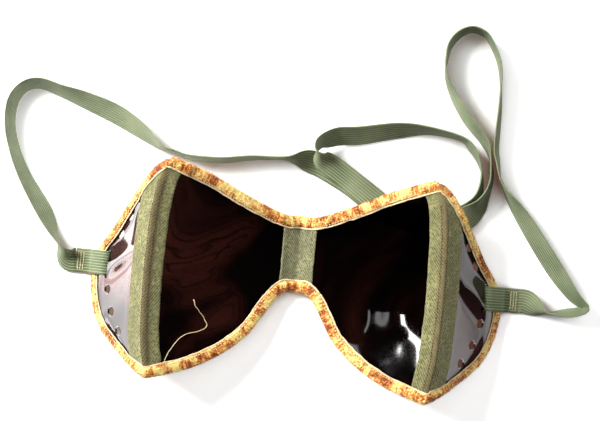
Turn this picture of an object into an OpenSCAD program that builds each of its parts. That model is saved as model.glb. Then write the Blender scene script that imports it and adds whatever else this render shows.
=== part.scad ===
// Folding sand goggles: two flat tinted lens panels and two curved side panels of thin sheet,
// joined by cloth tapes at the bridge and at both seams, bound with plush, on an elastic strap.
// X is across the face, +Y is towards the brow, +Z is away from the face. The goggles lie on
// z = 0, resting on the bridge and on the two strap loops.

/* [Lens panels] */
// Width of one lens panel along its sheet, from the bridge fold to the seam
lens_w = 64; // [56:0.5:72]
// Height of the seam's upper end above the notch's datum line
brow_rise = 43.6; // [38:0.2:50]
// Depth of the seam's lower end below the datum line
cheek_drop = 41.7; // [36:0.1:48]
// Height of the brow edge at the bridge
bridge_rise = 25; // [20:0.5:30]
// Depth of the notch edge at the bridge below the datum line
notch_drop = 2.8; // [2:0.1:5]
// How far the seam's upper end bends in from the seam's widest point
seam_top_inset = 7.4; // [5:0.1:9]
// How far the seam's lower end bends in
seam_bottom_inset = 3.8; // [2:0.1:6]
// Slope of each lens panel, up from the bridge
lens_tilt = 23; // [18:0.5:24]
// Thickness of the tinted sheet
sheet_t = 0.9; // [0.6:0.05:1.2]

/* [Side panels] */
// Width of a side panel at its middle, from the seam to its free edge
side_w = 33.5; // [30:0.1:34]
// Slope of each side panel, down from the seam
side_tilt = 46; // [44:0.5:50]
// Diameter of a vent hole
vent_d = 4; // [2:0.1:5]
// Length of the strap slot
slot_l = 12; // [11:0.1:15]
// Width of the strap slot
slot_w = 1.8; // [1.5:0.1:2.4]
// Distance of the slot's middle from the seam
slot_reach = 25; // [23:0.1:26]
// Height of the slot's middle above the datum line
slot_y = 0.4; // [-2:0.1:3]

/* [Tapes and stitching] */
// Width of the bridge tape
bridge_tape_w = 15; // [12:0.5:17]
// Width of a seam tape's leg on the lens panel
lens_leg = 6.8; // [5:0.1:8]
// Width of a seam tape's leg on the side panel
side_leg = 8.4; // [6:0.1:9]
// Thickness of the cloth tape
tape_t = 0.5; // [0.3:0.05:0.6]
// Gap that each sheet leaves to a seam
fold_gap = 0.8; // [0.6:0.05:1.2]
// Gap that each lens sheet leaves to the bridge fold, so that the panels can fold together
bridge_gap = 1.9; // [1.8:0.05:2.4]
// Width of a stitching thread
thread_w = 0.4; // [0.3:0.05:0.6]
// Distance of a bridge stitching row from the fold
bridge_row = 5; // [4:0.1:5.6]
// Distance of a seam stitching row from the seam
seam_row = 2; // [1.6:0.1:3]

/* [Plush binding] */
// Wall of the plush on each face of the sheet
plush_wall = 0.9; // [0.7:0.05:1.2]
// How far the binding covers the sheet
plush_leg = 3; // [2:0.1:3.4]
// How far the binding stands out past the sheet's edge
plush_bead = 1.6; // [1.2:0.1:2]
// How far the corner bindings run along the brow and the cheek from the seam
corner_run = 9; // [8:0.5:12]
// Half the length of the bindings over the bridge
bridge_run = 10; // [9:0.5:12]

/* [Strap] */
// Width of the elastic strap
strap_w = 10; // [8:0.5:10.5]
// Thickness of the elastic strap
strap_t = 0.8; // [0.6:0.05:1.1]
// How far the strap's sewn end reaches past the side rim
strap_tail = 7.5; // [6:0.5:9]

/* [Hidden] */

// Running clearance between pieces that lie on each other
clearance = 0.05;
// Running clearance between a binding and the tape that it closes over
tape_room = 0.15;
// Room between the sheet's edge and the bottom of the binding's channel
edge_room = 0.3;
// Height of a stitching thread above the cloth or plush that it holds
thread_h = 0.18;
// Distance of the rim stitching from the binding's inner edge
rim_row_inset = 0.8;
// Spacing of the points along the rim and the seam
rim_step = 2.6;
// Half the width of the flat that the tapes and bindings have along the bridge fold
crease_half = 0.3;

// Levels through the sandwich, from the sheet's middle surface
tape_in = sheet_t / 2 + clearance;
tape_out = tape_in + tape_t;
plain_slot = sheet_t / 2 + clearance;
taped_slot = tape_out + tape_room;
// Height of a level at the bridge fold, over the fold itself
function crease_level(v) = v / cos(lens_tilt) + crease_half * tan(lens_tilt);
// The bridge rests on its bindings, which close over both tapes
bridge_z = -crease_level(-taped_slot - plush_wall);

// Shapes of the edges, as shares of the sizes above
brow_shape = [[0, 0], [0.135, 0.005], [0.33, 0.21], [0.5, 0.425], [0.7, 0.7], [1, 1]];
cheek_shape = [[0, 0], [0.09, 0.008], [0.16, 0.1], [0.24, 0.28], [0.327, 0.48], [0.457, 0.655],
    [0.593, 0.787], [0.764, 0.9], [1, 1]];
seam_top_shape = [[0, 0], [0.23, 0.027], [0.57, 0.12], [0.84, 0.4], [1, 1]];
seam_bottom_shape = [[0, 0], [0.1, 0], [0.41, 0.13], [0.67, 0.32], [1, 1]];
rim_top_shape = [[0, 1], [0.06, 0.975], [0.12, 0.925], [0.18, 0.84], [0.38, 0.62], [0.64, 0.345],
    [0.89, 0.138], [0.985, -0.04]];
rim_bottom_shape = [[1, 0.2], [0.94, 0.41], [0.8, 0.592], [0.594, 0.729], [0.343, 0.861],
    [0.12, 0.955], [0, 1]];
vent_shape = [[0.27, 0.64], [0.42, 0.47], [0.56, 0.3], [0.715, -0.24], [0.63, -0.45],
    [0.475, -0.63]];

// Vectors and curves
function unit(v) = v / norm(v);
function flip(v) = [-v.x, v.y, v.z];
function hermite(a, b, c, d, t) = b + t * ((c - a) / 2 + t * ((2 * a - 5 * b + 4 * c - d) / 2
    + t * (3 * b - 3 * c + d - a) / 2));
function spline(p, n) = [for (i = [0:len(p) - 2], k = [0:n - 1])
    hermite(i == 0 ? 2 * p[0] - p[1] : p[i - 1], p[i], p[i + 1],
        i == len(p) - 2 ? 2 * p[i + 1] - p[i] : p[i + 2], k / n), p[len(p) - 1]];
function run_lengths(p, i = 0, sum = 0, out = []) = i == len(p) ? out
    : let (s = sum + (i == 0 ? 0 : norm(p[i] - p[i - 1])))
        run_lengths(p, i + 1, s, concat(out, [s]));
function resample(p, step) =
    let (s = run_lengths(p), total = s[len(s) - 1], n = max(2, round(total / step)),
        dims = len(p[0]),
        tables = [for (k = [0:dims - 1]) [for (i = [0:len(p) - 1]) [s[i], p[i][k]]]])
    [for (i = [0:n]) [for (k = [0:dims - 1]) lookup(total * i / n, tables[k])]];
function reversed(p) = [for (i = [len(p) - 1:-1:0]) p[i]];
function tail(p) = [for (i = [1:len(p) - 1]) p[i]];

// The seam: distance from the bridge fold, along the lens sheet, at a height y
seam_fine = concat(
    reversed([for (q = spline(seam_bottom_shape, 3))
        [-q.x * cheek_drop, lens_w - q.y * seam_bottom_inset]]),
    tail([for (q = spline(seam_top_shape, 4))
        [q.x * brow_rise, lens_w - q.y * seam_top_inset]]));
function seam_u(y) = lookup(y, seam_fine);
function seam_slope(y) = let (a = max(y - 0.5, -cheek_drop), b = min(y + 0.5, brow_rise))
    (seam_u(b) - seam_u(a)) / (b - a);
// Rows along the seam that the sheets and the tapes share, from one height to another
function seam_rows(low, high) = concat([low],
    [for (q = seam_fine) if (q.x > low + 0.3 && q.x < high - 0.3) q.x], [high]);
seam_top = [lens_w - seam_top_inset, brow_rise];
seam_bottom = [lens_w - seam_bottom_inset, -cheek_drop];

// Edges of the lens panel, as points [u, y] in its sheet
brow_edge = resample([for (q = spline(brow_shape, 8))
    [q.x * seam_top.x, bridge_rise + q.y * (brow_rise - bridge_rise)]], rim_step);
cheek_edge = resample([for (q = spline(cheek_shape, 8))
    [q.x * seam_bottom.x, -notch_drop - q.y * (cheek_drop - notch_drop)]], rim_step);
// Free edge of the side panel, as points [w, y], with w measured from the seam
rim_edge = resample(spline(concat(
    [for (q = rim_top_shape) [q.x * side_w, q.y * brow_rise]],
    [for (q = rim_bottom_shape) [q.x * side_w, -q.y * cheek_drop]]), 6), rim_step);
rim_by_y = reversed([for (q = rim_edge) [q.y, q.x]]);
function rim_w(y) = lookup(y, rim_by_y);
brow_by_y = [for (q = brow_edge) if (q.x > seam_top.x / 4) [q.y, q.x]];
cheek_by_y = reversed([for (q = cheek_edge) if (q.x > seam_bottom.x / 8) [q.y, q.x]]);

// Places in the shared frame, on the right half
lens_n = [-sin(lens_tilt), 0, cos(lens_tilt)];
side_d = [cos(side_tilt), 0, -sin(side_tilt)];
fold_angle = lens_tilt + side_tilt;
function lens_at(u, y, v = 0) = [u * cos(lens_tilt), y, bridge_z + u * sin(lens_tilt)]
    + v * lens_n;
function side_n(y) = unit([sin(side_tilt), -seam_slope(y) * sin(fold_angle), cos(side_tilt)]);
function side_at(w, y, v = 0) = lens_at(seam_u(y), y) + w * side_d + v * side_n(y);

// The whole rim of the right half, from the brow's middle round to the notch's middle
rim_points = concat(
    [for (q = brow_edge) lens_at(q.x, q.y)],
    [for (q = tail(rim_edge)) side_at(q.x, q.y)],
    tail(reversed([for (q = cheek_edge) lens_at(q.x, q.y)])));
brow_last = len(brow_edge) - 1;
side_last = brow_last + len(rim_edge) - 1;
rim_last = len(rim_points) - 1;
rim_normals = concat(
    [for (i = [0:brow_last - 1]) i == 0 ? [0, 0, 1] : lens_n],
    [for (i = [0:len(rim_edge) - 1]) i == 0 || i == len(rim_edge) - 1
        ? unit(lens_n + side_n(rim_edge[i].y)) : side_n(rim_edge[i].y)],
    [for (i = [side_last + 1:rim_last]) i == rim_last ? [0, 0, 1] : lens_n]);
function rim_tangent(i) = i == 0 || i == rim_last ? (i == 0 ? [1, 0, 0] : [-1, 0, 0])
    : unit(rim_points[i + 1] - rim_points[i - 1]);
// At the seam's ends the binding is mitred: its section lies along the seam and between panels
function seam_end(y, k) = unit(lens_at(seam_u(y), y) - lens_at(seam_u(y - k), y - k));
function rim_out(i) = i == brow_last ? seam_end(brow_rise, 0.5)
    : i == side_last ? seam_end(-cheek_drop, -0.5)
    : unit(cross(rim_normals[i], rim_tangent(i)));
function rim_up(i) = i == brow_last || i == side_last
    ? rim_normals[i] / (rim_normals[i] * lens_n) : cross(rim_tangent(i), rim_out(i));
// On a side panel the section bends with the panel, and keeps on its own side of the valley
// that the seam makes behind the panels
function side_reach(p) = (p - lens_at(seam_u(p.y), p.y)) * side_d;
function leg_x(i, q) = let (p = rim_points[i], valley = 0.1 - q.y * tan(fold_angle / 2),
        near = side_reach(p) - valley, far = side_reach(p - plush_leg * rim_out(i)) - valley)
    far > 0 ? q.x : max(q.x, -plush_leg * near / (near - far));
function seam_place(i, q) = let (y = rim_points[i].y + min(q.x, 0) * rim_out(i).y,
        mid = unit(lens_n + side_n(y)))
    lens_at(seam_u(y), y) + max(q.x, 0) * rim_out(i) + q.y * mid / (mid * lens_n);
function rim_place(i, q) = i == brow_last || i == side_last ? seam_place(i, q)
    : i < brow_last || i > side_last ? rim_points[i] + q.x * rim_out(i) + q.y * rim_up(i)
    : let (p = rim_points[i] + leg_x(i, q) * rim_out(i)) side_at(side_reach(p), p.y, q.y);
function crease_place(i, q) = [crease_half, rim_points[i].y + q.x * rim_out(i).y,
    bridge_z + crease_level(q.y)];

// Where the rim is cut into bindings
brow_from = brow_last - round(corner_run / rim_step);
side_from = brow_last + round((corner_run + side_leg * 1.35) / rim_step);
side_to = side_last - round((corner_run + side_leg / 2) / rim_step);
cheek_from = side_last + round(corner_run / rim_step);
bridge_to = round(bridge_run / rim_step);
nose_from = rim_last - round(bridge_run / rim_step);

// Section of a binding: a channel round the sheet's edge, open inwards
function channel(slot) = let (h = slot + plush_wall, leg = plush_leg, bead = plush_bead) [
    [-leg, slot], [edge_room, slot], [edge_room, -slot], [-leg, -slot],
    [-leg, -h * 0.8], [-leg * 0.75, -h], [bead * 0.2, -h], [bead * 0.8, -h * 0.65],
    [bead, 0],
    [bead * 0.8, h * 0.65], [bead * 0.2, h], [-leg * 0.75, h], [-leg, h * 0.8]];
// The channel's section cut into triangles, for its two ends
channel_ends = [[0, 1, 11], [0, 11, 12], [1, 10, 11], [1, 9, 10], [1, 8, 9], [1, 2, 8], [2, 7, 8],
    [2, 6, 7], [2, 5, 6], [2, 3, 5], [3, 4, 5]];
// Section of a row of thread that lies on a binding, near its inner edge
function rim_thread(slot) = let (x = rim_row_inset - plush_leg * 0.75, h = slot + plush_wall
        + clearance)
    [[x - thread_w / 2, h], [x + thread_w / 2, h], [x + thread_w / 2, h + thread_h],
        [x - thread_w / 2, h + thread_h]];

// A solid whose cross-sections are the given rings of points. ends holds the end faces, and
// turned names the sides whose squares are cut along their other diagonal.
module loft(rings, ends = [], turned = -1) {
    n = len(rings[0]);
    m = len(rings);
    caps = len(ends) > 0 ? ends : [[for (k = [0:n - 1]) k]];
    polyhedron(
        points = [for (r = rings) each r],
        faces = concat(
            [for (f = caps) reversed(f)],
            [for (f = caps) [for (k = f) (m - 1) * n + k]],
            [for (i = [0:m - 2], k = [0:n - 1]) let (a = i * n + k, b = i * n + (k + 1) % n)
                each k == turned ? [[a, b, a + n], [b, b + n, a + n]]
                    : [[a, b, b + n], [a, b + n, a + n]]]),
        convexity = 8);
}

module rim_piece(from, to, section) {
    loft([for (i = [to:-1:from]) [for (q = section) rim_place(i, q)]],
        len(section) == 13 ? channel_ends : [], len(section) == 13 ? 0 : -1);
}

module mirrored_half() { mirror([1, 0, 0]) children(); }

// Sheets
module lens_sheet() {
    low = -cheek_drop + fold_gap * 2;
    high = brow_rise - fold_gap * 2.5;
    seam_line = [for (y = reversed(seam_rows(low, high))) [seam_u(y) - fold_gap, y]];
    last = len(seam_line) - 1;
    top = [for (q = brow_edge) if (q.x > bridge_gap && q.x < seam_line[0].x - fold_gap) q];
    bottom = reversed([for (q = cheek_edge)
        if (q.x > bridge_gap && q.x < seam_line[last].x - fold_gap) q]);
    outline = concat([[bridge_gap, bridge_rise]], top, seam_line, bottom,
        [[bridge_gap, -notch_drop]]);
    translate([0, 0, bridge_z]) rotate([0, -lens_tilt, 0])
        translate([0, 0, -sheet_t / 2]) linear_extrude(sheet_t) polygon(outline);
}

// Turns a drawing in x = y-axis, y = side panel's normal, z = along the side panel
module along_side() {
    multmatrix([
        [0, sin(side_tilt), cos(side_tilt), lens_w * cos(lens_tilt)],
        [1, 0, 0, 0],
        [0, cos(side_tilt), -sin(side_tilt), bridge_z + lens_w * sin(lens_tilt)]]) children();
}
// Turns a drawing in x = along the side panel, y = y-axis, z = side panel's normal
module on_side() {
    multmatrix([
        [cos(side_tilt), 0, sin(side_tilt), lens_w * cos(lens_tilt)],
        [0, 1, 0, 0],
        [-sin(side_tilt), 0, cos(side_tilt), bridge_z + lens_w * sin(lens_tilt)]]) children();
}
function side_w0(y) = (seam_u(y) - lens_w) * cos(fold_angle);
function side_n0(y) = (seam_u(y) - lens_w) * sin(fold_angle);

module side_sheet() {
    high = brow_rise - fold_gap;
    low = -cheek_drop + fold_gap;
    rows = seam_rows(low, high);
    function lean(y) = unit([-seam_slope(y) * sin(fold_angle), 1]);
    profile = concat(
        [for (y = rows) [y, side_n0(y)] + lean(y) * sheet_t / 2],
        reversed([for (y = rows) [y, side_n0(y)] - lean(y) * sheet_t / 2]));
    free_edge = [for (q = rim_edge) if (q.x > fold_gap * 2) [q.x + side_w0(q.y), q.y]];
    first = free_edge[0].y;
    last = free_edge[len(free_edge) - 1].y;
    seam_edge = [for (y = seam_rows(last, first)) [side_w0(y) + fold_gap, y]];
    difference() {
        intersection() {
            along_side() translate([0, 0, -lens_w / 4])
                linear_extrude(side_w + lens_w / 4 + plush_bead) polygon(profile);
            on_side() translate([0, 0, -lens_w / 4])
                linear_extrude(lens_w / 2) polygon(concat(free_edge, seam_edge));
        }
        for (q = vent_shape) let (y = q.y * (q.y > 0 ? brow_rise : cheek_drop))
            on_side() translate([q.x * side_w + side_w0(y), y, side_n0(y)])
                rotate([atan(seam_slope(y) * sin(fold_angle)), 0, 0])
                    translate([0, 0, -sheet_t * 2])
                        cylinder(h = sheet_t * 4, d = vent_d, $fn = 32);
        on_side() translate([slot_reach - slot_w / 2, slot_y - slot_l / 2, -sheet_t * 3])
            cube([slot_w, slot_l, sheet_t * 6]);
    }
}

// Tapes
module bridge_tape(inner, outer) {
    reach = bridge_tape_w / 2;
    function arm(u, v) = let (p = lens_at(u, 0, v)) [p.x, p.z];
    right = [arm(reach, inner), arm(reach, outer)];
    crease = [[crease_half, bridge_z + crease_level(outer)],
        [crease_half, bridge_z + crease_level(inner)]];
    outline = concat(right, [crease[0]], [for (q = [crease[0], right[1], right[0], crease[1]])
        [-q.x, q.y]], [crease[1]]);
    translate([0, bridge_rise - edge_room, 0]) rotate([90, 0, 0])
        linear_extrude(bridge_rise + notch_drop - edge_room * 2) polygon(outline);
}

tape_low = -cheek_drop + 1.4;
tape_high = brow_rise - 1.4;
tape_rows = seam_rows(tape_low, tape_high);
function lens_leg_at(y) = min(lens_leg, seam_u(y) - lookup(y, y > 0 ? brow_by_y : cheek_by_y)
    - edge_room * 2);
function side_leg_at(y) = min(side_leg, rim_w(y) - edge_room);
module seam_tape(inner, outer) {
    loft([for (y = reversed(tape_rows)) let (a = lens_leg_at(y), b = side_leg_at(y), u = seam_u(y),
            mid = unit(lens_n + side_n(y)), bend = mid * lens_n, seam = lens_at(u, y))
        [seam + mid * inner / bend, lens_at(u - a, y, inner), lens_at(u - a, y, outer),
            seam + mid * outer / bend, side_at(b, y, outer), side_at(b, y, inner)]]);
}

// Stitching
module thread_row(places) {
    half = thread_w / 2;
    loft([for (p = places) [p[0] - half * p[1], p[0] + half * p[1],
        p[0] + half * p[1] + thread_h * p[2], p[0] - half * p[1] + thread_h * p[2]]]);
}
module bridge_thread() {
    across = [cos(lens_tilt), 0, sin(lens_tilt)];
    low = -notch_drop + plush_leg + 1.6;
    high = bridge_rise - plush_leg - 0.6;
    thread_row([for (y = [low, high]) [lens_at(bridge_row, y, tape_out + clearance),
        across, lens_n]]);
}
thread_low = -cheek_drop + plush_leg + 2;
thread_high = brow_rise - plush_leg - 3.8;
thread_rows = seam_rows(thread_low, thread_high);
module seam_lens_thread() {
    across = [cos(lens_tilt), 0, sin(lens_tilt)];
    thread_row([for (y = thread_rows)
        [lens_at(seam_u(y) - seam_row, y, tape_out + clearance), across, lens_n]]);
}
module seam_side_thread() {
    thread_row([for (y = thread_rows)
        [side_at(seam_row, y, tape_out + clearance), side_d, side_n(y)]]);
}

// The sewn end of the strap: it goes over the rim, down the slot and back behind the rim
rim_reach = side_w + plush_bead;
function panel_xz(w, v) = [lens_w * cos(lens_tilt) + w * cos(side_tilt) + v * sin(side_tilt),
    bridge_z + lens_w * sin(lens_tilt) - w * sin(side_tilt) + v * cos(side_tilt)];
rim_x = panel_xz(rim_reach, 0).x;
strap_exit_x = rim_x + strap_tail;
tail_z = strap_t * 0.5;
front_z = strap_t * 1.5 + clearance * 2;
binding_h = plain_slot + plush_wall;
over_binding = binding_h + strap_t * 0.5 + clearance * 6;
loop_path = spline([
    [strap_exit_x, tail_z],
    [rim_x + strap_tail * 0.4, tail_z],
    panel_xz(rim_reach + 0.5, -binding_h * 0.75),
    panel_xz(rim_reach - 1.4, -over_binding),
    panel_xz(rim_reach - plush_leg - 1, -over_binding),
    panel_xz(slot_reach + 1.7, -over_binding),
    panel_xz(slot_reach + 0.25, -1.1),
    panel_xz(slot_reach, 0),
    panel_xz(slot_reach + 0.25, 1.1),
    panel_xz(slot_reach + 1.7, over_binding),
    panel_xz(rim_reach - plush_leg - 1, over_binding),
    panel_xz(rim_reach - 1.4, over_binding),
    panel_xz(rim_reach + 0.9, binding_h * 0.85),
    [rim_x + strap_tail * 0.5, front_z],
    [strap_exit_x, front_z]], 4);
function path_side(p, i) = i == 0 ? [0, -1] : i == len(p) - 1 ? [0, 1]
    : let (d = unit(p[i + 1] - p[i - 1])) [-d.y, d.x];
function ribbon(p, t) = concat([for (i = [0:len(p) - 1]) p[i] + path_side(p, i) * t / 2],
    reversed([for (i = [0:len(p) - 1]) p[i] - path_side(p, i) * t / 2]));
module strap_loop() {
    translate([0, slot_y + strap_w / 2, 0]) rotate([90, 0, 0])
        linear_extrude(strap_w) polygon(ribbon(loop_path, strap_t));
}
module tack_stitches() {
    bars = 3;
    for (k = [0:bars - 1])
        translate([strap_exit_x - 1.2 - k * 1.1, slot_y - strap_w * 0.3,
            front_z + strap_t / 2 + clearance])
            cube([thread_w, strap_w * 0.6, thread_h]);
}

// The strap's free runs. Each point is [x, y, roll, lift]: roll turns the band from flat (0)
// to standing on its edge (90), and lift raises it over what it crosses.
strap_left_route = [
    [-strap_exit_x, slot_y, 0, front_z - strap_t / 2],
    [-93.4, 0.4, -12, 0.7], [-96, 2.5, -48, 0.3], [-98.4, 7, -84, 0], [-104.5, 18, -121, 0],
    [-114, 32, -113, 0], [-119.5, 43, -107, 0], [-122.5, 53.5, -105, 0], [-122, 63, -107, 0],
    [-118, 69, -108, 0], [-111.5, 71, -113, 0], [-102, 68.5, -118, 0], [-91.5, 65.5, -134, 0],
    [-79, 61, -142, 0], [-68, 55, -127, 0], [-60, 49.5, -100, 0], [-54, 48, -96, 0],
];
strap_middle_route = [
    [-54, 48, -96, 0], [-48, 46.5, -98, 0], [-34.5, 46.5, -100, 0], [-22.5, 48.5, -97, 0],
    [-9.5, 49.5, -94, 0], [-5, 49.5, -112, 0], [-1.5, 49.5, -142, 0], [2.5, 49, -170, 0],
    [7, 47.5, -180, 0], [18, 42, -180, 0], [31.5, 34, -180, 0], [48, 30.5, -180, 0],
    [56, 30.5, -180, 0],
];
strap_right_route = [
    [56, 30.5, 0, 0], [61, 30.5, 0, 0], [65.5, 32.5, 14, 0], [68.8, 36, 38, 0], [70.7, 40, 60, 0],
    [71.3, 44.5, 76, 0], [71.2, 50, 84, 0], [69.5, 55, 92, 0], [66.5, 60, 102, 0],
    [61.5, 64, 97, 0], [48.5, 66, 105, 0], [36, 65, 127, 0], [20.5, 61.5, 137, 0.4],
    [12.5, 60.5, 137, 1], [7.5, 58.5, 128, 2], [4.6, 56.5, 112, 3], [3.8, 53.5, 90, 3.3],
    [5.2, 50.5, 50, 3.2], [9.5, 48.5, 22, 2.2], [17.5, 43.5, 20, 1.4], [28.5, 36, 8, 1.3],
    [35, 32, 2, 1.3], [44.5, 29.5, 0, 1.3], [54.5, 28.5, 0, 1.3], [62, 29.5, 3, 1.3],
    [67, 32.5, 20, 1.4], [70.9, 36.2, 46, 1.2], [73, 40, 66, 0.7], [74.4, 44, 76, 0.4],
    [75.2, 48.5, 80, 0.3], [74.8, 53.5, 82, 0.2], [73.6, 58, 90, 0.1], [71, 63.5, 104, 0],
    [63, 72.5, 109, 0], [56.5, 82, 102, 0], [53, 90, 90, 0], [53, 98.5, 81, 0], [54.5, 103, 77, 0],
    [57.5, 106.5, 77, 0], [61.5, 108.5, 80, 0], [65.5, 108, 82, 0], [69.5, 105, 85, 0],
    [74.5, 94.5, 87, 0], [76, 79, 99, 0], [76, 62.5, 104, 0], [77, 56.5, 102, 0], [80, 46.5, 90, 0],
    [89.5, 34, 58, 0], [103, 16, 49, 0], [111.5, 5.5, 63, 0], [115.5, 2, 71, 0], [117.5, 0, 75, 0],
    [115, -1.5, 74, 0], [110.5, -2.5, 73, 0], [102.5, -3.4, 94, 0], [99.5, -2.8, 116, 0.2],
    [96.6, -1.2, 146, 0.5], [93.6, 0.4, 170, 0.8],
    [strap_exit_x, slot_y, 180, front_z - strap_t / 2],
];

function route_z(r) = r[3] + strap_w / 2 * abs(sin(r[2])) + strap_t / 2 * abs(cos(r[2]));
module strap_run(route) {
    n = len(route) - 1;
    rings = [for (i = [0:n]) let (
            a = route[max(i - 1, 0)], b = route[min(i + 1, n)], r = route[i],
            along = unit([b.x - a.x, b.y - a.y, 0]),
            level = cross([0, 0, 1], along),
            wide = cos(r[2]) * level + sin(r[2]) * [0, 0, 1],
            thin = cross(along, wide),
            c = [r.x, r.y, route_z(r)], w = strap_w / 2, t = strap_t / 2)
        [for (q = [[-1, -0.5], [-0.9, -1], [0.9, -1], [1, -0.5], [1, 0.5], [0.9, 1], [-0.9, 1],
            [-1, 0.5]]) c + q.x * w * wide + q.y * t * thin]];
    loft(reversed(rings), turned = 5);
}

module left_lens() { color("#1c0d0d") mirrored_half() lens_sheet(); }
module right_lens() { color("#1c0d0d") lens_sheet(); }
module left_side_panel() { color("#2a1718") mirrored_half() side_sheet(); }
module right_side_panel() { color("#2a1718") side_sheet(); }
module bridge_tape_front() { color("#5a5f3c") bridge_tape(tape_in, tape_out); }
module bridge_tape_back() { color("#5a5f3c") bridge_tape(-tape_out, -tape_in); }
module left_seam_tape_outer() { color("#7a7f50") mirrored_half() seam_tape(tape_in, tape_out); }
module right_seam_tape_outer() { color("#7a7f50") seam_tape(tape_in, tape_out); }
module left_seam_tape_inner() { color("#6a6f45") mirrored_half() seam_tape(-tape_out, -tape_in); }
module right_seam_tape_inner() { color("#6a6f45") seam_tape(-tape_out, -tape_in); }
module bridge_stitching_left() { color("#6d6a45") mirrored_half() bridge_thread(); }
module bridge_stitching_right() { color("#6d6a45") bridge_thread(); }
module left_seam_lens_stitching() { color("#6b4a2c") mirrored_half() seam_lens_thread(); }
module right_seam_lens_stitching() { color("#6b4a2c") seam_lens_thread(); }
module left_seam_side_stitching() { color("#6b4a2c") mirrored_half() seam_side_thread(); }
module right_seam_side_stitching() { color("#6b4a2c") seam_side_thread(); }

module over_bridge(from, to) {
    section = channel(taped_slot);
    right = [for (i = [from:to]) [for (q = section)
        i == 0 || i == rim_last ? crease_place(i, q) : rim_place(i, q)]];
    left = reversed([for (r = right) [for (p = r) flip(p)]]);
    rings = from == 0 ? concat(left, right) : concat(right, left);
    loft(reversed(rings), channel_ends);
}
module bridge_top_binding() { color("#cc7d36") over_bridge(0, bridge_to); }
module nose_binding() { color("#cc7d36") over_bridge(nose_from, rim_last); }

module brow_binding() { rim_piece(bridge_to, brow_from, channel(plain_slot)); }
module side_binding() { rim_piece(side_from, side_to, channel(plain_slot)); }
module cheek_binding() { rim_piece(cheek_from, nose_from, channel(plain_slot)); }
module upper_corner() { rim_piece(brow_from, side_from, channel(taped_slot)); }
module lower_corner() { rim_piece(side_to, cheek_from, channel(taped_slot)); }
module left_brow_binding() { color("#cc7d36") mirrored_half() brow_binding(); }
module right_brow_binding() { color("#cc7d36") brow_binding(); }
module left_cheek_binding() { color("#cc7d36") mirrored_half() cheek_binding(); }
module right_cheek_binding() { color("#cc7d36") cheek_binding(); }
module left_side_binding() { color("#cc7d36") mirrored_half() side_binding(); }
module right_side_binding() { color("#cc7d36") side_binding(); }
module left_upper_corner_binding() { color("#cc7d36") mirrored_half() upper_corner(); }
module right_upper_corner_binding() { color("#cc7d36") upper_corner(); }
module left_lower_corner_binding() { color("#cc7d36") mirrored_half() lower_corner(); }
module right_lower_corner_binding() { color("#cc7d36") lower_corner(); }

module brow_thread() { rim_piece(bridge_to, brow_from, rim_thread(plain_slot)); }
module cheek_thread() { rim_piece(cheek_from, nose_from, rim_thread(plain_slot)); }
module side_thread() { rim_piece(side_from, side_to, rim_thread(plain_slot)); }
module left_brow_stitching() { color("#f2dba0") mirrored_half() brow_thread(); }
module right_brow_stitching() { color("#f2dba0") brow_thread(); }
module left_cheek_stitching() { color("#f2dba0") mirrored_half() cheek_thread(); }
module right_cheek_stitching() { color("#f2dba0") cheek_thread(); }
module left_side_stitching() { color("#f2dba0") mirrored_half() side_thread(); }
module right_side_stitching() { color("#f2dba0") side_thread(); }

module left_strap_end_loop() { color("#7f8a64") mirrored_half() strap_loop(); }
module right_strap_end_loop() { color("#7f8a64") strap_loop(); }
module left_strap_tack() { color("#a3a07a") mirrored_half() tack_stitches(); }
module right_strap_tack() { color("#a3a07a") tack_stitches(); }
module strap_left() { color("#7f8a64") strap_run(strap_left_route); }
module strap_middle() { color("#7f8a64") strap_run(strap_middle_route); }
module strap_right() { color("#7f8a64") strap_run(strap_right_route); }

left_lens();
right_lens();
left_side_panel();
right_side_panel();
bridge_tape_front();
bridge_tape_back();
left_seam_tape_outer();
right_seam_tape_outer();
left_seam_tape_inner();
right_seam_tape_inner();
bridge_stitching_left();
bridge_stitching_right();
left_seam_lens_stitching();
right_seam_lens_stitching();
left_seam_side_stitching();
right_seam_side_stitching();
bridge_top_binding();
nose_binding();
left_brow_binding();
right_brow_binding();
left_cheek_binding();
right_cheek_binding();
left_side_binding();
right_side_binding();
left_upper_corner_binding();
right_upper_corner_binding();
left_lower_corner_binding();
right_lower_corner_binding();
left_brow_stitching();
right_brow_stitching();
left_cheek_stitching();
right_cheek_stitching();
left_side_stitching();
right_side_stitching();
left_strap_end_loop();
right_strap_end_loop();
left_strap_tack();
right_strap_tack();
strap_left();
strap_middle();
strap_right();
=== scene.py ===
# %% [markdown]
# # Folding sand goggles
# Two flat lens panels and two side panels of thin tinted sheet are joined by cloth tapes, bound
# with gold plush round the whole rim and held by a ribbed elastic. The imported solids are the
# fixed frame: every piece below is worked out in the same millimetres and lies where they are.

# %% Load the fixed frame
import math

import bpy
import numpy as np
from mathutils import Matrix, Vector
from mathutils.geometry import delaunay_2d_cdt


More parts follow.
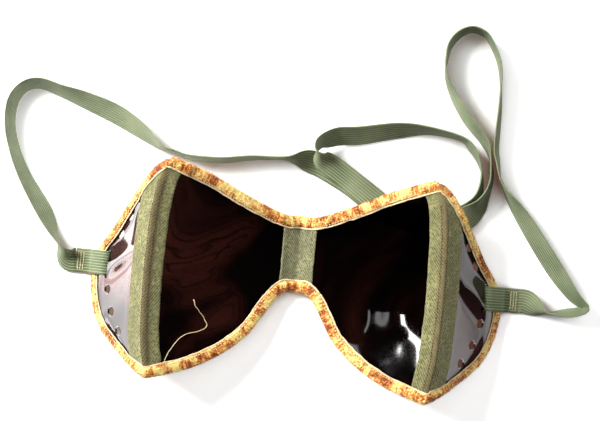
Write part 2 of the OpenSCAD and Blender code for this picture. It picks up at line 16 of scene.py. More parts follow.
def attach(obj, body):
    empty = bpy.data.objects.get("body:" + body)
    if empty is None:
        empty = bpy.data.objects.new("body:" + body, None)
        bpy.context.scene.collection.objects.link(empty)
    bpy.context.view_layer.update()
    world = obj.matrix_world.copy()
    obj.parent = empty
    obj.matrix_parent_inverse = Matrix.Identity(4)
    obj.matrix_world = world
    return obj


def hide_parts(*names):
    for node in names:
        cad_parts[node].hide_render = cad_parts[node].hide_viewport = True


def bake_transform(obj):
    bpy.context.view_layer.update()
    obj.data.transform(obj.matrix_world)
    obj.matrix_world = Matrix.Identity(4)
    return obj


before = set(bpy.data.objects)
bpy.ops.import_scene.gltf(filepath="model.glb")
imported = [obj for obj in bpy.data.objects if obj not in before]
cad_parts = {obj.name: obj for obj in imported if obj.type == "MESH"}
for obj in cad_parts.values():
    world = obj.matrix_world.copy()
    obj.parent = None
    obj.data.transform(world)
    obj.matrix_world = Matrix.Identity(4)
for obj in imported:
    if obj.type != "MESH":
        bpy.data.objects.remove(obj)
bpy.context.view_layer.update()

MM = 0.001
TURN = 6.2832
HALVES = ((-1, "left"), (1, "right"))
chance = np.random.default_rng(11)

# %% [markdown]
# ## The camera
# The photograph looks straight down from about three quarters of a metre. The camera's place and
# turn were fitted to the outline of the rim, and its tilt of one to two degrees keeps the frame
# without any lens shift.



# %% Camera
def add_object(name, data):
    """A new object with its data, in the scene."""
    thing = bpy.data.objects.new(name, data)
    bpy.context.scene.collection.objects.link(thing)
    return thing


camera_data = bpy.data.cameras.new("camera")
camera = add_object("camera", camera_data)
bpy.context.scene.camera = camera
camera.location = (0.0243, 0.0174, 0.764)
camera.rotation_euler = [math.radians(a) for a in (1.04, 1.82, 5.303)]
camera_data.angle = math.radians(18.25)
camera_data.clip_start = 0.01
bpy.context.scene.view_settings.view_transform = "Standard"
print("camera height in mm:", round(camera.location.z / MM))

# %% [markdown]
# ## Curves
# Sizes come as a few chosen points. A Catmull-Rom curve passes through each of them, and a
# second step spaces points evenly along it, so that stitches, ribs and pile keep their scale.


# %% Curve helpers
def curve(points, per=12):
    """Catmull-Rom: between two points the cubic whose slope at each one is half the step from
    its neighbour before to its neighbour after."""
    p = np.asarray(points, float)
    q = np.vstack([2 * p[0] - p[1], p, 2 * p[-1] - p[-2]])
    a, b, c, d = q[:-3, None], q[1:-2, None], q[2:-1, None], q[3:, None]
    t = (np.arange(per) / per)[None, :, None]
    out = b + t * ((c - a) / 2 + t * ((2 * a - 5 * b + 4 * c - d) / 2
                                      + t * (3 * b - 3 * c + d - a) / 2))
    return np.vstack([out.reshape(-1, p.shape[1]), p[-1:]])


def run_length(path):
    """Length along a path up to each point: the sum of the straight steps so far."""
    return np.concatenate([[0], np.cumsum(np.linalg.norm(np.diff(path, axis=0), axis=1))])


def evenly(path, step, run=None):
    """The same path with its points one step apart, each coordinate read off at that length."""
    run = run_length(path) if run is None else run
    at = np.linspace(0, run[-1], max(3, int(round(run[-1] / step)) + 1))
    return np.stack([np.interp(at, run, path[:, k]) for k in range(path.shape[1])], 1), at


def unit(v):
    """Each vector over its own length."""
    return v / np.linalg.norm(v, axis=-1, keepdims=True)


def smooth(x, low, high):
    """0 below low, 1 above high, and 3t^2 - 2t^3 between them."""
    t = np.clip((x - low) / (high - low), 0, 1)
    return t * t * (3 - 2 * t)


def mirror(points, half):
    """x times half: 1 keeps a point on the right and -1 puts it on the left."""
    return points * np.stack(np.broadcast_arrays(half, 1, 1), -1)


# %% [markdown]
# ## Putting a surface into Blender
# A surface is a grid of points: rows run along the piece and columns across it. A grid that
# closes on itself across, with its two ends covered, is a solid. The UV map holds millimetres
# along and across the cloth, so a weave keeps its size and turns with the piece.


# %% Mesh helpers
def put(name, points, faces, uvs=None, look=None, body=None, seam=None, nodes=(), angle=None):
    """Makes a mesh of points in millimetres, hangs it on a body or, for a seam, leaves it where it
    lies, and gives it the material of its look. The slot's name in the look is not used."""
    mesh = bpy.data.meshes.new(name)
    mesh.from_pydata((np.asarray(points) * MM).tolist(), [], [list(map(int, f)) for f in faces])
    if uvs is not None:
        layer = mesh.uv_layers.new(name="cloth")
        layer.data.foreach_set("uv", np.asarray(uvs, np.float32).ravel())
    mesh.polygons.foreach_set("use_smooth", np.ones(len(mesh.polygons), bool))
    if angle:
        mesh.set_sharp_from_angle(angle=math.radians(angle))
    mesh.update()
    thing = add_object(name, mesh)
    slot, material = look
    mesh.materials.append(material)
    if seam:
        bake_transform(thing)
    elif body:
        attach(thing, body)
    if nodes:
        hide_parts(*nodes)
    return thing


def grid_corners(rows, columns, wrap):
    """Rows and columns of the four corners of each face of a grid, which may wrap across."""
    i, j = np.meshgrid(np.arange(rows - 1), np.arange(columns - (not wrap)), indexing="ij")
    return i.reshape(-1, 1) + [0, 0, 1, 1], j.reshape(-1, 1) + [0, 1, 1, 0]


def closed_band(name, grid, uv=None, more=None, **finish):
    """A grid that wraps across, with a face over each end: the outside of a long solid. Its
    faces turn outward by the sign of the volume inside. uv has one more column than the grid,
    and more adds loose triangles: points, faces and one UV each."""
    rows, columns = grid.shape[:2]
    i, j = grid_corners(rows, columns, True)
    points, faces = grid.reshape(-1, 3), i * columns + j % columns
    a, b, c, d = (points[faces[:, k]] - points[0] for k in range(4))
    way = -1 if (np.cross(a, b) * c + np.cross(a, c) * d).sum() < 0 else 1
    first, last = list(range(columns)), list(range((rows - 1) * columns, rows * columns))
    faces = faces[:, ::way].tolist() + [first[::-way], last[::way]]
    if uv is not None:
        uv = np.vstack([uv[i, j][:, ::way].reshape(-1, 2), np.zeros((2 * columns, 2))])
    if more is not None:
        faces += (more[1] + len(points)).tolist()
        points = np.vstack([points, more[0]])
        uv = np.vstack([uv, np.repeat(more[2], 3, 0)])
    return put(name, points, faces, uv, **finish)


print("mesh helpers ready")

# %% [markdown]
# ## The goggles' own shape
# The same sizes as the solids': each panel is flat along one direction, and the curved seam
# between a lens panel and its side panel is given by its distance u from the bridge at height y.

# %% Sizes and places of the sheets
# In millimetres: heights are counted up and down from y = 0, which lies 2.8 above the notch. A
# gap is the room between a sheet's edge and its fold. TAPED_SLOT and PLAIN_SLOT are half the
# height inside the binding, with and without a tape in it.
LENS_W, BROW_RISE, CHEEK_DROP, BRIDGE_RISE, NOTCH_DROP = 64, 43.6, 41.7, 25, 2.8
TOP_INSET, BOTTOM_INSET, SHEET, SIDE_W = 7.4, 3.8, 0.9, 33.5
SEAM_TOP, SEAM_BOTTOM = LENS_W - TOP_INSET, LENS_W - BOTTOM_INSET
TILT, SIDE_TILT = math.radians(23), math.radians(46)
BRIDGE_GAP, LENS_GAP, SIDE_GAP = 1.9, 1.2, 0.8
VENT_R, SLOT_REACH, SLOT_Y, SLOT_W, SLOT_L = 2, 25, 0.4, 1.8, 12
TAPE_IN, TAPE_OUT, LENS_LEG, SIDE_LEG, BRIDGE_TAPE_W = 0.5, 1.0, 6.8, 8.4, 15
PLAIN_SLOT, TAPED_SLOT, WALL, LEG, BEAD, CREASE = 0.5, 1.15, 0.9, 3.0, 1.6, 0.3
STRAP_W, STRAP_T, STRAP_TAIL, RIBS = 10.0, 0.8, 7.5, 9
BRIDGE_Z = (TAPED_SLOT + WALL) / math.cos(TILT) - CREASE * math.tan(TILT)
LENS_N = np.array([-math.sin(TILT), 0, math.cos(TILT)])
TO_SEAM = np.array([math.cos(TILT), 0, math.sin(TILT)])
DOWN = np.array([math.cos(SIDE_TILT), 0, -math.sin(SIDE_TILT)])

brow = curve([[0, 0], [.135, .005], [.33, .21], [.5, .425], [.7, .7], [1, 1]])
brow = brow * [SEAM_TOP, BROW_RISE - BRIDGE_RISE] + [0, BRIDGE_RISE]
cheek = curve([[0, 0], [.09, .008], [.16, .1], [.24, .28], [.327, .48], [.457, .655],
               [.593, .787], [.764, .9], [1, 1]])
cheek = cheek * [SEAM_BOTTOM, NOTCH_DROP - CHEEK_DROP] - [0, NOTCH_DROP]
seam_top = curve([[0, 0], [.23, .027], [.57, .12], [.84, .4], [1, 1]])
seam_low = curve([[0, 0], [.1, 0], [.41, .13], [.67, .32], [1, 1]])
seam = np.vstack([seam_low[::-1] * [-CHEEK_DROP, -BOTTOM_INSET] + [0, LENS_W],
                  seam_top[1:] * [BROW_RISE, -TOP_INSET] + [0, LENS_W]])
rim_high = [[0, 1], [.06, .975], [.12, .925], [.18, .84], [.38, .62], [.64, .345], [.89, .138],
            [.985, -.04]]
rim_low = [[1, .2], [.94, .41], [.8, .592], [.594, .729], [.343, .861], [.12, .955], [0, 1]]
rim = curve([[a * SIDE_W, b * BROW_RISE] for a, b in rim_high]
            + [[a * SIDE_W, -b * CHEEK_DROP] for a, b in rim_low])


def seam_u(y):
    """Distance of the seam from the bridge fold, along the lens panel, at height y."""
    return np.interp(y, seam[:, 0], seam[:, 1])


def seam_slope(y):
    """How much the seam's distance grows over the millimetre round height y."""
    return seam_u(y + 0.5) - seam_u(y - 0.5)


def rim_w(y):
    """Width of the side panel at height y, from the seam to its free edge."""
    return np.interp(y, rim[::-1, 1], rim[::-1, 0])


def side_n(y):
    """Normal of the right side panel: it turns with the slope of the seam."""
    y = np.asarray(y, float)
    return unit(np.stack([np.full_like(y, math.sin(SIDE_TILT)),
                          -seam_slope(y) * math.sin(TILT + SIDE_TILT),
                          np.full_like(y, math.cos(SIDE_TILT))], -1))


def lens_at(u, y, v=0.0):
    """Point of the right lens panel u from the bridge, at height y and level v."""
    u, y, v = np.broadcast_arrays(np.asarray(u, float), y, v)
    base = np.stack([u * math.cos(TILT), y, BRIDGE_Z + u * math.sin(TILT)], -1)
    return base + v[..., None] * LENS_N


def side_at(w, y, v=0.0):
    """Point of the right side panel w from the seam, at height y and level v."""
    w, y, v = np.broadcast_arrays(np.asarray(w, float), y, v)
    return lens_at(seam_u(y), y) + w[..., None] * DOWN + v[..., None] * side_n(y)


print("seam height in mm:", BROW_RISE + CHEEK_DROP)

# %% [markdown]
# ## Colours and shared effects
# A finish is worked out from values that nodes put out, and a sign between two values adds a
# Math node. Colours are written as a screen shows them and turned into linear light. Effects
# that several finishes use, such as mottling and a weave's yarns, are node groups.


# %% Colour and node helpers
class Value:
    """What a node puts out; the signs + - * / add a Math node for it and another value."""

    def __init__(self, tree, socket):
        self.tree, self.socket = tree, socket

    def math(self, kind, other=0.0, clamp=False):
        """One Math node on this value, and on another one where the kind takes two."""
        return add_node(self.tree, "Math", {0: self, 1: other}, operation=kind, use_clamp=clamp)

    def __add__(self, other):
        return self.math("ADD", other)

    def __sub__(self, other):
        return self.math("SUBTRACT", other)

    def __mul__(self, other):
        return self.math("MULTIPLY", other)

    def __truediv__(self, other):
        return self.math("DIVIDE", other)


def wire(tree, value, socket):
    """Links a value, or sets a plain number or colour on the socket."""
    if isinstance(value, Value):
        tree.links.new(value.socket, socket)
    else:
        socket.default_value = value


def add_node(tree, kind, inputs=None, output=0, **settings):
    """A node with its settings and inputs; the value is that of one of its outputs."""
    node = tree.nodes.new("ShaderNode" + kind)
    for label, setting in settings.items():
        setattr(node, label, setting)
    for label, value in (inputs or {}).items():
        wire(tree, value, node.inputs[label])
    return Value(tree, node.outputs[output])


def screen(r, g, b):
    """Linear colour of an 8-bit screen colour: the standard curve, near a power of 2.4."""
    c = np.array([r, g, b]) / 255
    c = np.where(c <= 0.04045, c / 12.92, ((c + 0.055) / 1.055) ** 2.4)
    return (*[float(x) for x in c], 1.0)


def blend_colours(amount, a, b):
    """A mix of two colours by a mask."""
    return add_node(amount.tree, "Mix", {0: amount, 6: a, 7: b}, 2, data_type="RGBA")


def ramp(value, low, high):
    """A mask that rises from 0 at low to 1 at high."""
    return add_node(value.tree, "MapRange", {0: value, 1: low, 2: high},
                    interpolation_type="SMOOTHSTEP")


def place(tree, kind="Object"):
    """Object coordinates, or the piece's own UV map."""
    return add_node(tree, "TexCoord", output=kind)


def split(vector):
    """The three numbers of a vector."""
    return [add_node(vector.tree, "SeparateXYZ", {0: vector}, k) for k in range(3)]


def noise(where, scale, detail, stretch=None, twist=0.0):
    """Noise on a vector, with lumps about 1 / scale across."""
    if stretch:
        where = add_node(where.tree, "Mapping", {"Vector": where, "Scale": stretch})
    return add_node(where.tree, "TexNoise", {"Vector": where, "Scale": scale, "Detail": detail,
                                             "Distortion": twist}, "Fac")


def new_group(name, inputs, outputs):
    """A node group with named inputs and their defaults; also its values and its exit."""
    tree = bpy.data.node_groups.new(name, "ShaderNodeTree")
    for label, default in inputs.items():
        kind = "NodeSocketVector" if isinstance(default, tuple) else "NodeSocketFloat"
        socket = tree.interface.new_socket(label, in_out="INPUT", socket_type=kind)
        socket.default_value = default
    for label in outputs:
        tree.interface.new_socket(label, in_out="OUTPUT", socket_type="NodeSocketFloat")
    enter = tree.nodes.new("NodeGroupInput").outputs
    return (tree, {label: Value(tree, enter[label]) for label in inputs},
            tree.nodes.new("NodeGroupOutput").inputs)


def use_group(group, where, **values):
    """Places a shared group in a material with this material's own values."""
    node = where.tree.nodes.new("ShaderNodeGroup")
    node.node_tree = group
    for label, value in {"Vector": where, **values}.items():
        wire(where.tree, value, node.inputs[label])
    return {socket.name: Value(where.tree, socket) for socket in node.outputs}


# %% Shared groups
def make_mottle():
    """Mottling: noise of a chosen scale, pulled apart by a contrast about its middle."""
    tree, enter, leave = new_group("mottle", {"Vector": (0, 0, 0), "Scale": 300.0,
                                              "Contrast": 2.0}, ["Mask"])
    pulled = (noise(enter["Vector"], enter["Scale"], 4.0) - 0.5) * enter["Contrast"]
    wire(tree, pulled.math("ADD", 0.5, clamp=True), leave["Mask"])
    return tree


def make_twill():
    """Twill on a UV map in millimetres: ribs run at an angle, and yarns cross them. The height
    of each is the half-raised cosine of the distance across it over its pitch."""
    tree, enter, leave = new_group("twill", {"Vector": (0, 0, 0), "Pitch": 0.8, "Angle": 1.0,
                                             "Yarn": 0.45}, ["Rib", "Yarn"])
    x, y, _ = split(enter["Vector"])
    cosine, sine = enter["Angle"].math("COSINE"), enter["Angle"].math("SINE")
    wobble = noise(enter["Vector"], 0.9, 2.0) * 0.35
    ribs = (wobble + (x * cosine + y * sine)) / enter["Pitch"]
    yarns = (y * cosine - x * sine) / enter["Yarn"] + ribs.math("FLOOR") * 0.5
    for label, count in (("Rib", ribs), ("Yarn", yarns)):
        wire(tree, (count * TURN).math("COSINE") * 0.5 + 0.5, leave[label])
    return tree


mottle = make_mottle()
twill = make_twill()
print("shared groups:", [g.name for g in bpy.data.node_groups])

# %% [markdown]
# ## Finishes
# The sheet is cellulose: nearly black, red-brown where light comes through, with a hard gloss.
# The tape is cotton twill, paler where it is rubbed, with painted shade between its ribs. The
# plush is silky gold, with painted sheen in patches: pale yellow painted highlight and deep
# orange-brown painted shade. The elastic has cotton ribs with fine yarns across them.


# %% Materials
def mottled(where, scale, contrast):
    """The mask of the mottle group."""
    return use_group(mottle, where, Scale=scale, Contrast=contrast)["Mask"]


def celluloid_maps(tree, deep, light, rubbed):
    """Two tints in slow swirls with thin flow lines in them, and rubbed patches in the gloss."""
    where = place(tree)
    swirl = noise(where, 15.0, 2.0, twist=1.8)
    flow = (swirl * 75.0).math("SINE").math("ABSOLUTE")
    share = ramp(swirl, 0.44, 0.68) * (ramp(flow, 0.05, 0.6) * 0.75 + 0.25)
    return {"Base Color": blend_colours(share, deep, light),
            "Roughness": mottled(where, 260.0, 2.4) * rubbed + 0.02,
            "bump": (noise(where, 45.0, 1.0), 0.06)}


def tape_maps(tree, tone, groove_shade, rubbed, crest_shadow=0.0):
    """Twill colour: painted shade between the ribs, rubbed pale on them, with worn patches, pale
    flecks where a rib's yarn is broken, and a painted shadow line along the swelling of the fold."""
    cloth, where = place(tree, "UV"), place(tree)
    weave = use_group(twill, cloth, Pitch=0.86, Angle=0.62, Yarn=0.42)
    worn, fleck = mottled(where, 170.0, 2.6), mottled(where, 1000.0, 3.6)
    height = weave["Yarn"] * 0.35 + weave["Rib"] * 0.65
    # The dark colour is painted shade: it fills the low parts of the weave, between the ribs.
    base = blend_colours(ramp(height, 0.12, 0.8), screen(*groove_shade), screen(*tone))
    base = blend_colours(fleck * (worn * 0.6 + 0.20), base, screen(*rubbed))
    if crest_shadow:
        # Painted shadow: a brown line along the swelling of the fold, on the lens side, broken up
        # by flecks.
        off = (split(cloth)[0] + 0.9).math("ABSOLUTE")
        crest_shadow_mask = ramp(off, 2.2, 0.5) * (fleck * 0.9 + crest_shadow)
        base = blend_colours(crest_shadow_mask.math("MINIMUM", 0.8), base, screen(92, 62, 34))
    return {"Base Color": base, "bump": (height, 0.20)}


def plush_maps(tree):
    """Painted sheen: a coarse mask picks among a pale yellow painted highlight, gold and a deep
    orange-brown painted shade, streaks of this sheen run across the binding, and fine specks break
    both up."""
    where = place(tree)
    sheen_patch, fine = mottled(where, 190.0, 3.6), mottled(where, 1300.0, 3.2)
    sheen_streak = noise(place(tree, "UV"), 1.0, 3.0, stretch=(1.35, 0.16, 1))
    mask = sheen_patch * 0.42 + sheen_streak * 0.75 + fine * 0.30
    # Deep orange-brown is painted shade and pale yellow a painted highlight, with the gold
    # between.
    body = blend_colours(ramp(mask, 0.46, 0.70), screen(128, 50, 12), screen(226, 136, 44))
    body = blend_colours(ramp(mask, 0.67, 0.89), body, screen(254, 232, 146))
    return {"Base Color": body, "bump": (fine + sheen_streak, 0.22)}


def elastic_maps(tree):
    """Fine yarns across the ribs, darker between the ribs, with slow fading along the band."""
    u, v, _ = split(place(tree, "UV"))
    groove = (u * (math.pi * RIBS / STRAP_W)).math("COSINE").math("ABSOLUTE")
    base = blend_colours(ramp(groove, 0.02, 0.55), screen(160, 175, 128), screen(70, 82, 50))
    fade = mottled(place(tree), 60.0, 2.0) * 0.35
    yarns = (v * (TURN / 0.42)).math("SINE") * 0.5 + 0.5
    return {"Base Color": blend_colours(fade, base, screen(206, 214, 174)),
            "bump": (yarns, 0.07)}


def thread_maps(tree, tone, shade):
    """Twisted thread: a slow mottle between two tones."""
    mask = mottled(place(tree), 900.0, 2.5)
    return {"Base Color": blend_colours(mask, screen(*shade), screen(*tone)),
            "bump": (mask, 0.08)}


def new_material(name):
    """A new material, its node tree and its shader."""
    made = bpy.data.materials.new(name)
    made.use_nodes = True
    return made, made.node_tree, made.node_tree.nodes["Principled BSDF"]


def finish(slot, name, build, args=(), **plain):
    """A look for a slot: build(tree, *args) gives the maps, and plain sets the shader's own
    sockets. A bump's second number is its depth in millimetres."""
    made, tree, shader = new_material(name)
    for label, value in plain.items():
        shader.inputs[label.replace("_", " ").title().replace("Ior", "IOR")].default_value = value
    for label, value in build(tree, *args).items():
        if label == "bump":
            label, value = "Normal", add_node(tree, "Bump", {
                "Height": value[0], "Distance": value[1] * MM, "Strength": 1.0})
        wire(tree, value, shader.inputs[label])
    return slot, made


CLOTH = {"roughness": 0.85, "sheen_weight": 0.15, "sheen_roughness": 0.5}
lens_look = finish("lens_celluloid", "tinted celluloid", celluloid_maps,
                   ((.0004, .0002, .0002, 1), (.0056, .0014, .0010, 1), 0.012),
                   transmission_weight=1.0, ior=1.5)
side_look = finish("side_celluloid", "side celluloid", celluloid_maps,
                   ((.012, .0045, .0045, 1), (.06, .018, .014, 1), 0.04),
                   transmission_weight=1.0, ior=1.55)
# In both twills the dark colour is painted shade between the ribs; the olive twill's last number
# feeds its painted shadow line along the swelling.
tape_look = finish("twill_tape", "olive twill", tape_maps,
                   ((128, 127, 78), (44, 43, 23), (180, 175, 118), 0.02), **CLOTH)
bridge_look = finish("twill_tape", "bridge twill", tape_maps,
                     ((132, 133, 94), (50, 50, 32), (176, 172, 128)), **CLOTH)
plush_look = finish("plush", "gold plush", plush_maps, roughness=0.62, sheen_weight=0.6,
                    sheen_roughness=0.35, sheen_tint=(1.0, 0.85, 0.5, 1))
elastic_look = finish("elastic", "ribbed elastic", elastic_maps, roughness=0.8, sheen_weight=0.1)
seam_look = finish("seam_thread", "brown thread", thread_maps, ((84, 50, 28), (38, 22, 12)),
                   roughness=0.7)
olive_look = finish("tape_thread", "olive thread", thread_maps, ((120, 112, 70), (72, 66, 38)),
                    roughness=0.7)
cream_look = finish("rim_thread", "cream thread", thread_maps,
                    ((250, 236, 196), (214, 178, 120)), roughness=0.6)
print("materials:", len(bpy.data.materials))

# %% [markdown]
# ## The elastic
# The elastic is one long band that stands on its edge, twists and crosses over itself. Its route
# repeats the solid's points: x, y, a roll from lying flat (0) to standing on its edge (90), and
# a lift over what it crosses. The section has nine ribs on each face.

# %% Strap routes
STRAP_EXIT = LENS_W * math.cos(TILT) + (SIDE_W + BEAD) * math.cos(SIDE_TILT) + STRAP_TAIL
left_route = [
    [-STRAP_EXIT, SLOT_Y, 0, 0.9],
    [-93.4, 0.4, -12, 0.7], [-96, 2.5, -48, 0.3], [-98.4, 7, -84, 0], [-104.5, 18, -121, 0],
    [-114, 32, -113, 0], [-119.5, 43, -107, 0], [-122.5, 53.5, -105, 0], [-122, 63, -107, 0],
    [-118, 69, -108, 0], [-111.5, 71, -113, 0], [-102, 68.5, -118, 0], [-91.5, 65.5, -134, 0],
    [-79, 61, -142, 0], [-68, 55, -127, 0], [-60, 49.5, -100, 0], [-54, 48, -96, 0]]
middle_route = [
    [-54, 48, -96, 0], [-48, 46.5, -98, 0], [-34.5, 46.5, -100, 0], [-22.5, 48.5, -97, 0],
    [-9.5, 49.5, -94, 0], [-5, 49.5, -112, 0], [-1.5, 49.5, -142, 0], [2.5, 49, -170, 0],
    [7, 47.5, -180, 0], [18, 42, -180, 0], [31.5, 34, -180, 0], [48, 30.5, -180, 0],
    [56, 30.5, -180, 0]]
right_route = [
    [56, 30.5, 0, 0], [61, 30.5, 0, 0], [65.5, 32.5, 14, 0], [68.8, 36, 38, 0],
    [70.7, 40, 60, 0], [71.3, 44.5, 76, 0], [71.2, 50, 84, 0], [69.5, 55, 92, 0],
    [66.5, 60, 102, 0], [61.5, 64, 97, 0], [48.5, 66, 105, 0], [36, 65, 127, 0],
    [20.5, 61.5, 137, 0.4], [12.5, 60.5, 137, 1], [7.5, 58.5, 128, 2], [4.6, 56.5, 112, 3],
    [3.8, 53.5, 90, 3.3], [5.2, 50.5, 50, 3.2], [9.5, 48.5, 22, 2.2], [17.5, 43.5, 20, 1.4],
    [28.5, 36, 8, 1.3], [35, 32, 2, 1.3], [44.5, 29.5, 0, 1.3], [54.5, 28.5, 0, 1.3],
    [62, 29.5, 3, 1.3], [67, 32.5, 20, 1.4], [70.9, 36.2, 46, 1.2], [73, 40, 66, 0.7],
    [74.4, 44, 76, 0.4], [75.2, 48.5, 80, 0.3], [74.8, 53.5, 82, 0.2], [73.6, 58, 90, 0.1],
    [71, 63.5, 104, 0], [63, 72.5, 109, 0], [56.5, 82, 102, 0], [53, 90, 90, 0],
    [53, 98.5, 81, 0], [54.5, 103, 77, 0], [57.5, 106.5, 77, 0], [61.5, 108.5, 80, 0],
    [65.5, 108, 82, 0], [69.5, 105, 85, 0], [74.5, 94.5, 87, 0], [76, 79, 99, 0],
    [76, 62.5, 104, 0], [77, 56.5, 102, 0], [80, 46.5, 90, 0], [89.5, 34, 58, 0],
    [103, 16, 49, 0], [111.5, 5.5, 63, 0], [115.5, 2, 71, 0], [117.5, 0, 75, 0],
    [115, -1.5, 74, 0], [110.5, -2.5, 73, 0], [102.5, -3.4, 94, 0], [99.5, -2.8, 116, 0.2],
    [96.6, -1.2, 146, 0.5], [93.6, 0.4, 170, 0.8], [STRAP_EXIT, SLOT_Y, 180, 0.9]]

print("points on the strap's routes:", [len(r) for r in (left_route, middle_route, right_route)])


# %% Strap shapes
def rib_section():
    """Outline of the band, once round: x goes across it, and its half thickness is a share of
    0.6 + 0.4 |sin|^0.6 of nine half turns, drawn in at the two edges."""
    x = np.linspace(-1, 1, RIBS * 5 + 1)
    rise = 0.6 + 0.4 * np.abs(np.sin((x + 1) * RIBS * math.pi / 2)) ** 0.6
    rise *= np.sqrt(np.clip(1 - np.abs(x) ** 24, 0.05, 1))
    face = np.stack([x * (STRAP_W - 0.1) / 2, rise * STRAP_T / 2], 1)
    return np.vstack([face, (face * [1, -1])[::-1][1:-1]])


ribbed = rib_section()


def route_line(route):
    """The band's middle line. Its height is the lift, plus half the width times |sin roll| and
    half the thickness times |cos roll|, so that the lower edge stays on the table."""
    fine = curve(route, 10)
    roll = np.radians(fine[:, 2])
    z = fine[:, 3] + STRAP_W / 2 * np.abs(np.sin(roll)) + STRAP_T / 2 * np.abs(np.cos(roll))
    path = np.stack([fine[:, 0], fine[:, 1], np.maximum(z, STRAP_T / 2), roll], 1)
    return evenly(path, 0.9, run_length(path[:, :3]))


def band(path):
    """The ribbed section carried along the path: its x lies across the band, turned from level
    by the roll, and its y lies along the band's normal."""
    middle, roll = path[:, :3], path[:, 3:]
    ahead = unit(np.gradient(middle, axis=0) * [1, 1, 0])
    wide = np.cos(roll) * np.cross([0, 0, 1], ahead) + np.sin(roll) * [0, 0, 1]
    thin = np.cross(ahead, wide)
    return middle[:, None] + ribbed[:, :1] * wide[:, None] + ribbed[:, 1:] * thin[:, None]


def elastic(name, grid, at, **finish):
    """A stretch of the elastic, with its UVs counted across the ribs and along the band."""
    across = np.append(ribbed[:, 0], ribbed[0, 0])
    uv = np.stack(np.broadcast_arrays(across, at[:, None]), -1)
    return closed_band(name, grid, uv, look=elastic_look, **finish)


def strap_piece(name, route, seam, node):
    """One free run of the elastic, with the length that it measures."""
    path, at = route_line(route)
    piece = elastic(name, band(path), at, seam=seam, nodes=[node])
    start = (path[0, :3] * MM).tolist()
    print(name, "is", round(at[-1]), "mm long, with", len(path), "rings")


print("points round the elastic:", len(ribbed))

# %% Strap runs
strap_piece("elastic_left", left_route,
            ("left_side", "left_lens", (-.100, .006, .005), (-.100, .046, .005)), "strap_left")
strap_piece("elastic_middle", middle_route,
            ("left_lens", "right_lens", (-.020, .04, .005), (.025, .04, .005)), "strap_middle")
strap_piece("elastic_right", right_route,
            ("right_lens", "right_side", (.0785, .0418, .005), (.0997, .0206, .005)),
            "strap_right")

# %% [markdown]
# ## Layers over the folds
# Sheet, tape and binding lie on each other like the layers of a sandwich, and each one has its
# own level. Near a fold a layer's direction turns into the bisector of the two panels, so that
# layers stay parallel there and never cut through each other.

# %% Layer points
TURN_REACH, RIDGE_ROUND = 3, 0.11


def sheet_at(c, y, v=0.0, soft=1.2):
    """Point at distance c from the seam (negative on the lens panel), height y and level v.
    The two panels' lines meet in a short parabola, and the normal turns into the bisector."""
    c, y, v = np.broadcast_arrays(np.asarray(c, float), y, v)
    t = np.clip((c + soft) / (2 * soft), 0, 1)
    near = np.abs(c) < soft
    u = seam_u(y) + np.where(near, -soft * (1 - t) ** 2, np.minimum(c, 0))
    ridge = BRIDGE_Z + math.sin(TILT) * np.sqrt(u * u + RIDGE_ROUND)
    base = np.stack([u * math.cos(TILT), y, ridge], -1)
    base = base + np.where(near, soft * t ** 2, np.maximum(c, 0))[..., None] * DOWN
    n_side = side_n(y)
    normal = np.where(c[..., None] < 0, LENS_N, n_side)
    middle = unit(LENS_N + n_side)
    for away, mitre in ((np.abs(c), middle / (middle @ LENS_N)[..., None]),
                        (u, np.array([0, 0, 1 / math.cos(TILT)]))):
        normal = normal + (1 - smooth(away, 0, TURN_REACH))[..., None] * (mitre - normal)
    return base + v[..., None] * normal


def lumps(rows, columns, along, across, power):
    """Smooth random heights on a grid: random numbers on a coarse grid, eased in between."""
    a = chance.normal(size=(int(rows / along) + 3, int(columns / across) + 3)) * power
    i, j = np.arange(rows) / along, np.arange(columns) / across
    i0, j0 = i.astype(int), j.astype(int)
    ti, tj = smooth(i - i0, 0, 1)[:, None], smooth(j - j0, 0, 1)
    top, low = (a[k][:, j0] * (1 - tj) + a[k][:, j0 + 1] * tj for k in (i0, i0 + 1))
    return top * (1 - ti) + low * ti


print("seam layer at y = 0:", np.round(sheet_at([-1, 0, 1], 0, 1.0), 2).tolist())

# %% [markdown]
# ## The rim's line
# The rim runs along the brow, turns the corner on to the side panel, and comes back along the
# cheek to the notch. At each point the line knows which way leads out of the sheet, because the
# binding's section lies along that direction.

# %% Rim line
RIM_STEP, CORNER_REACH, NOSE_REACH = 0.5, 3.2, 3


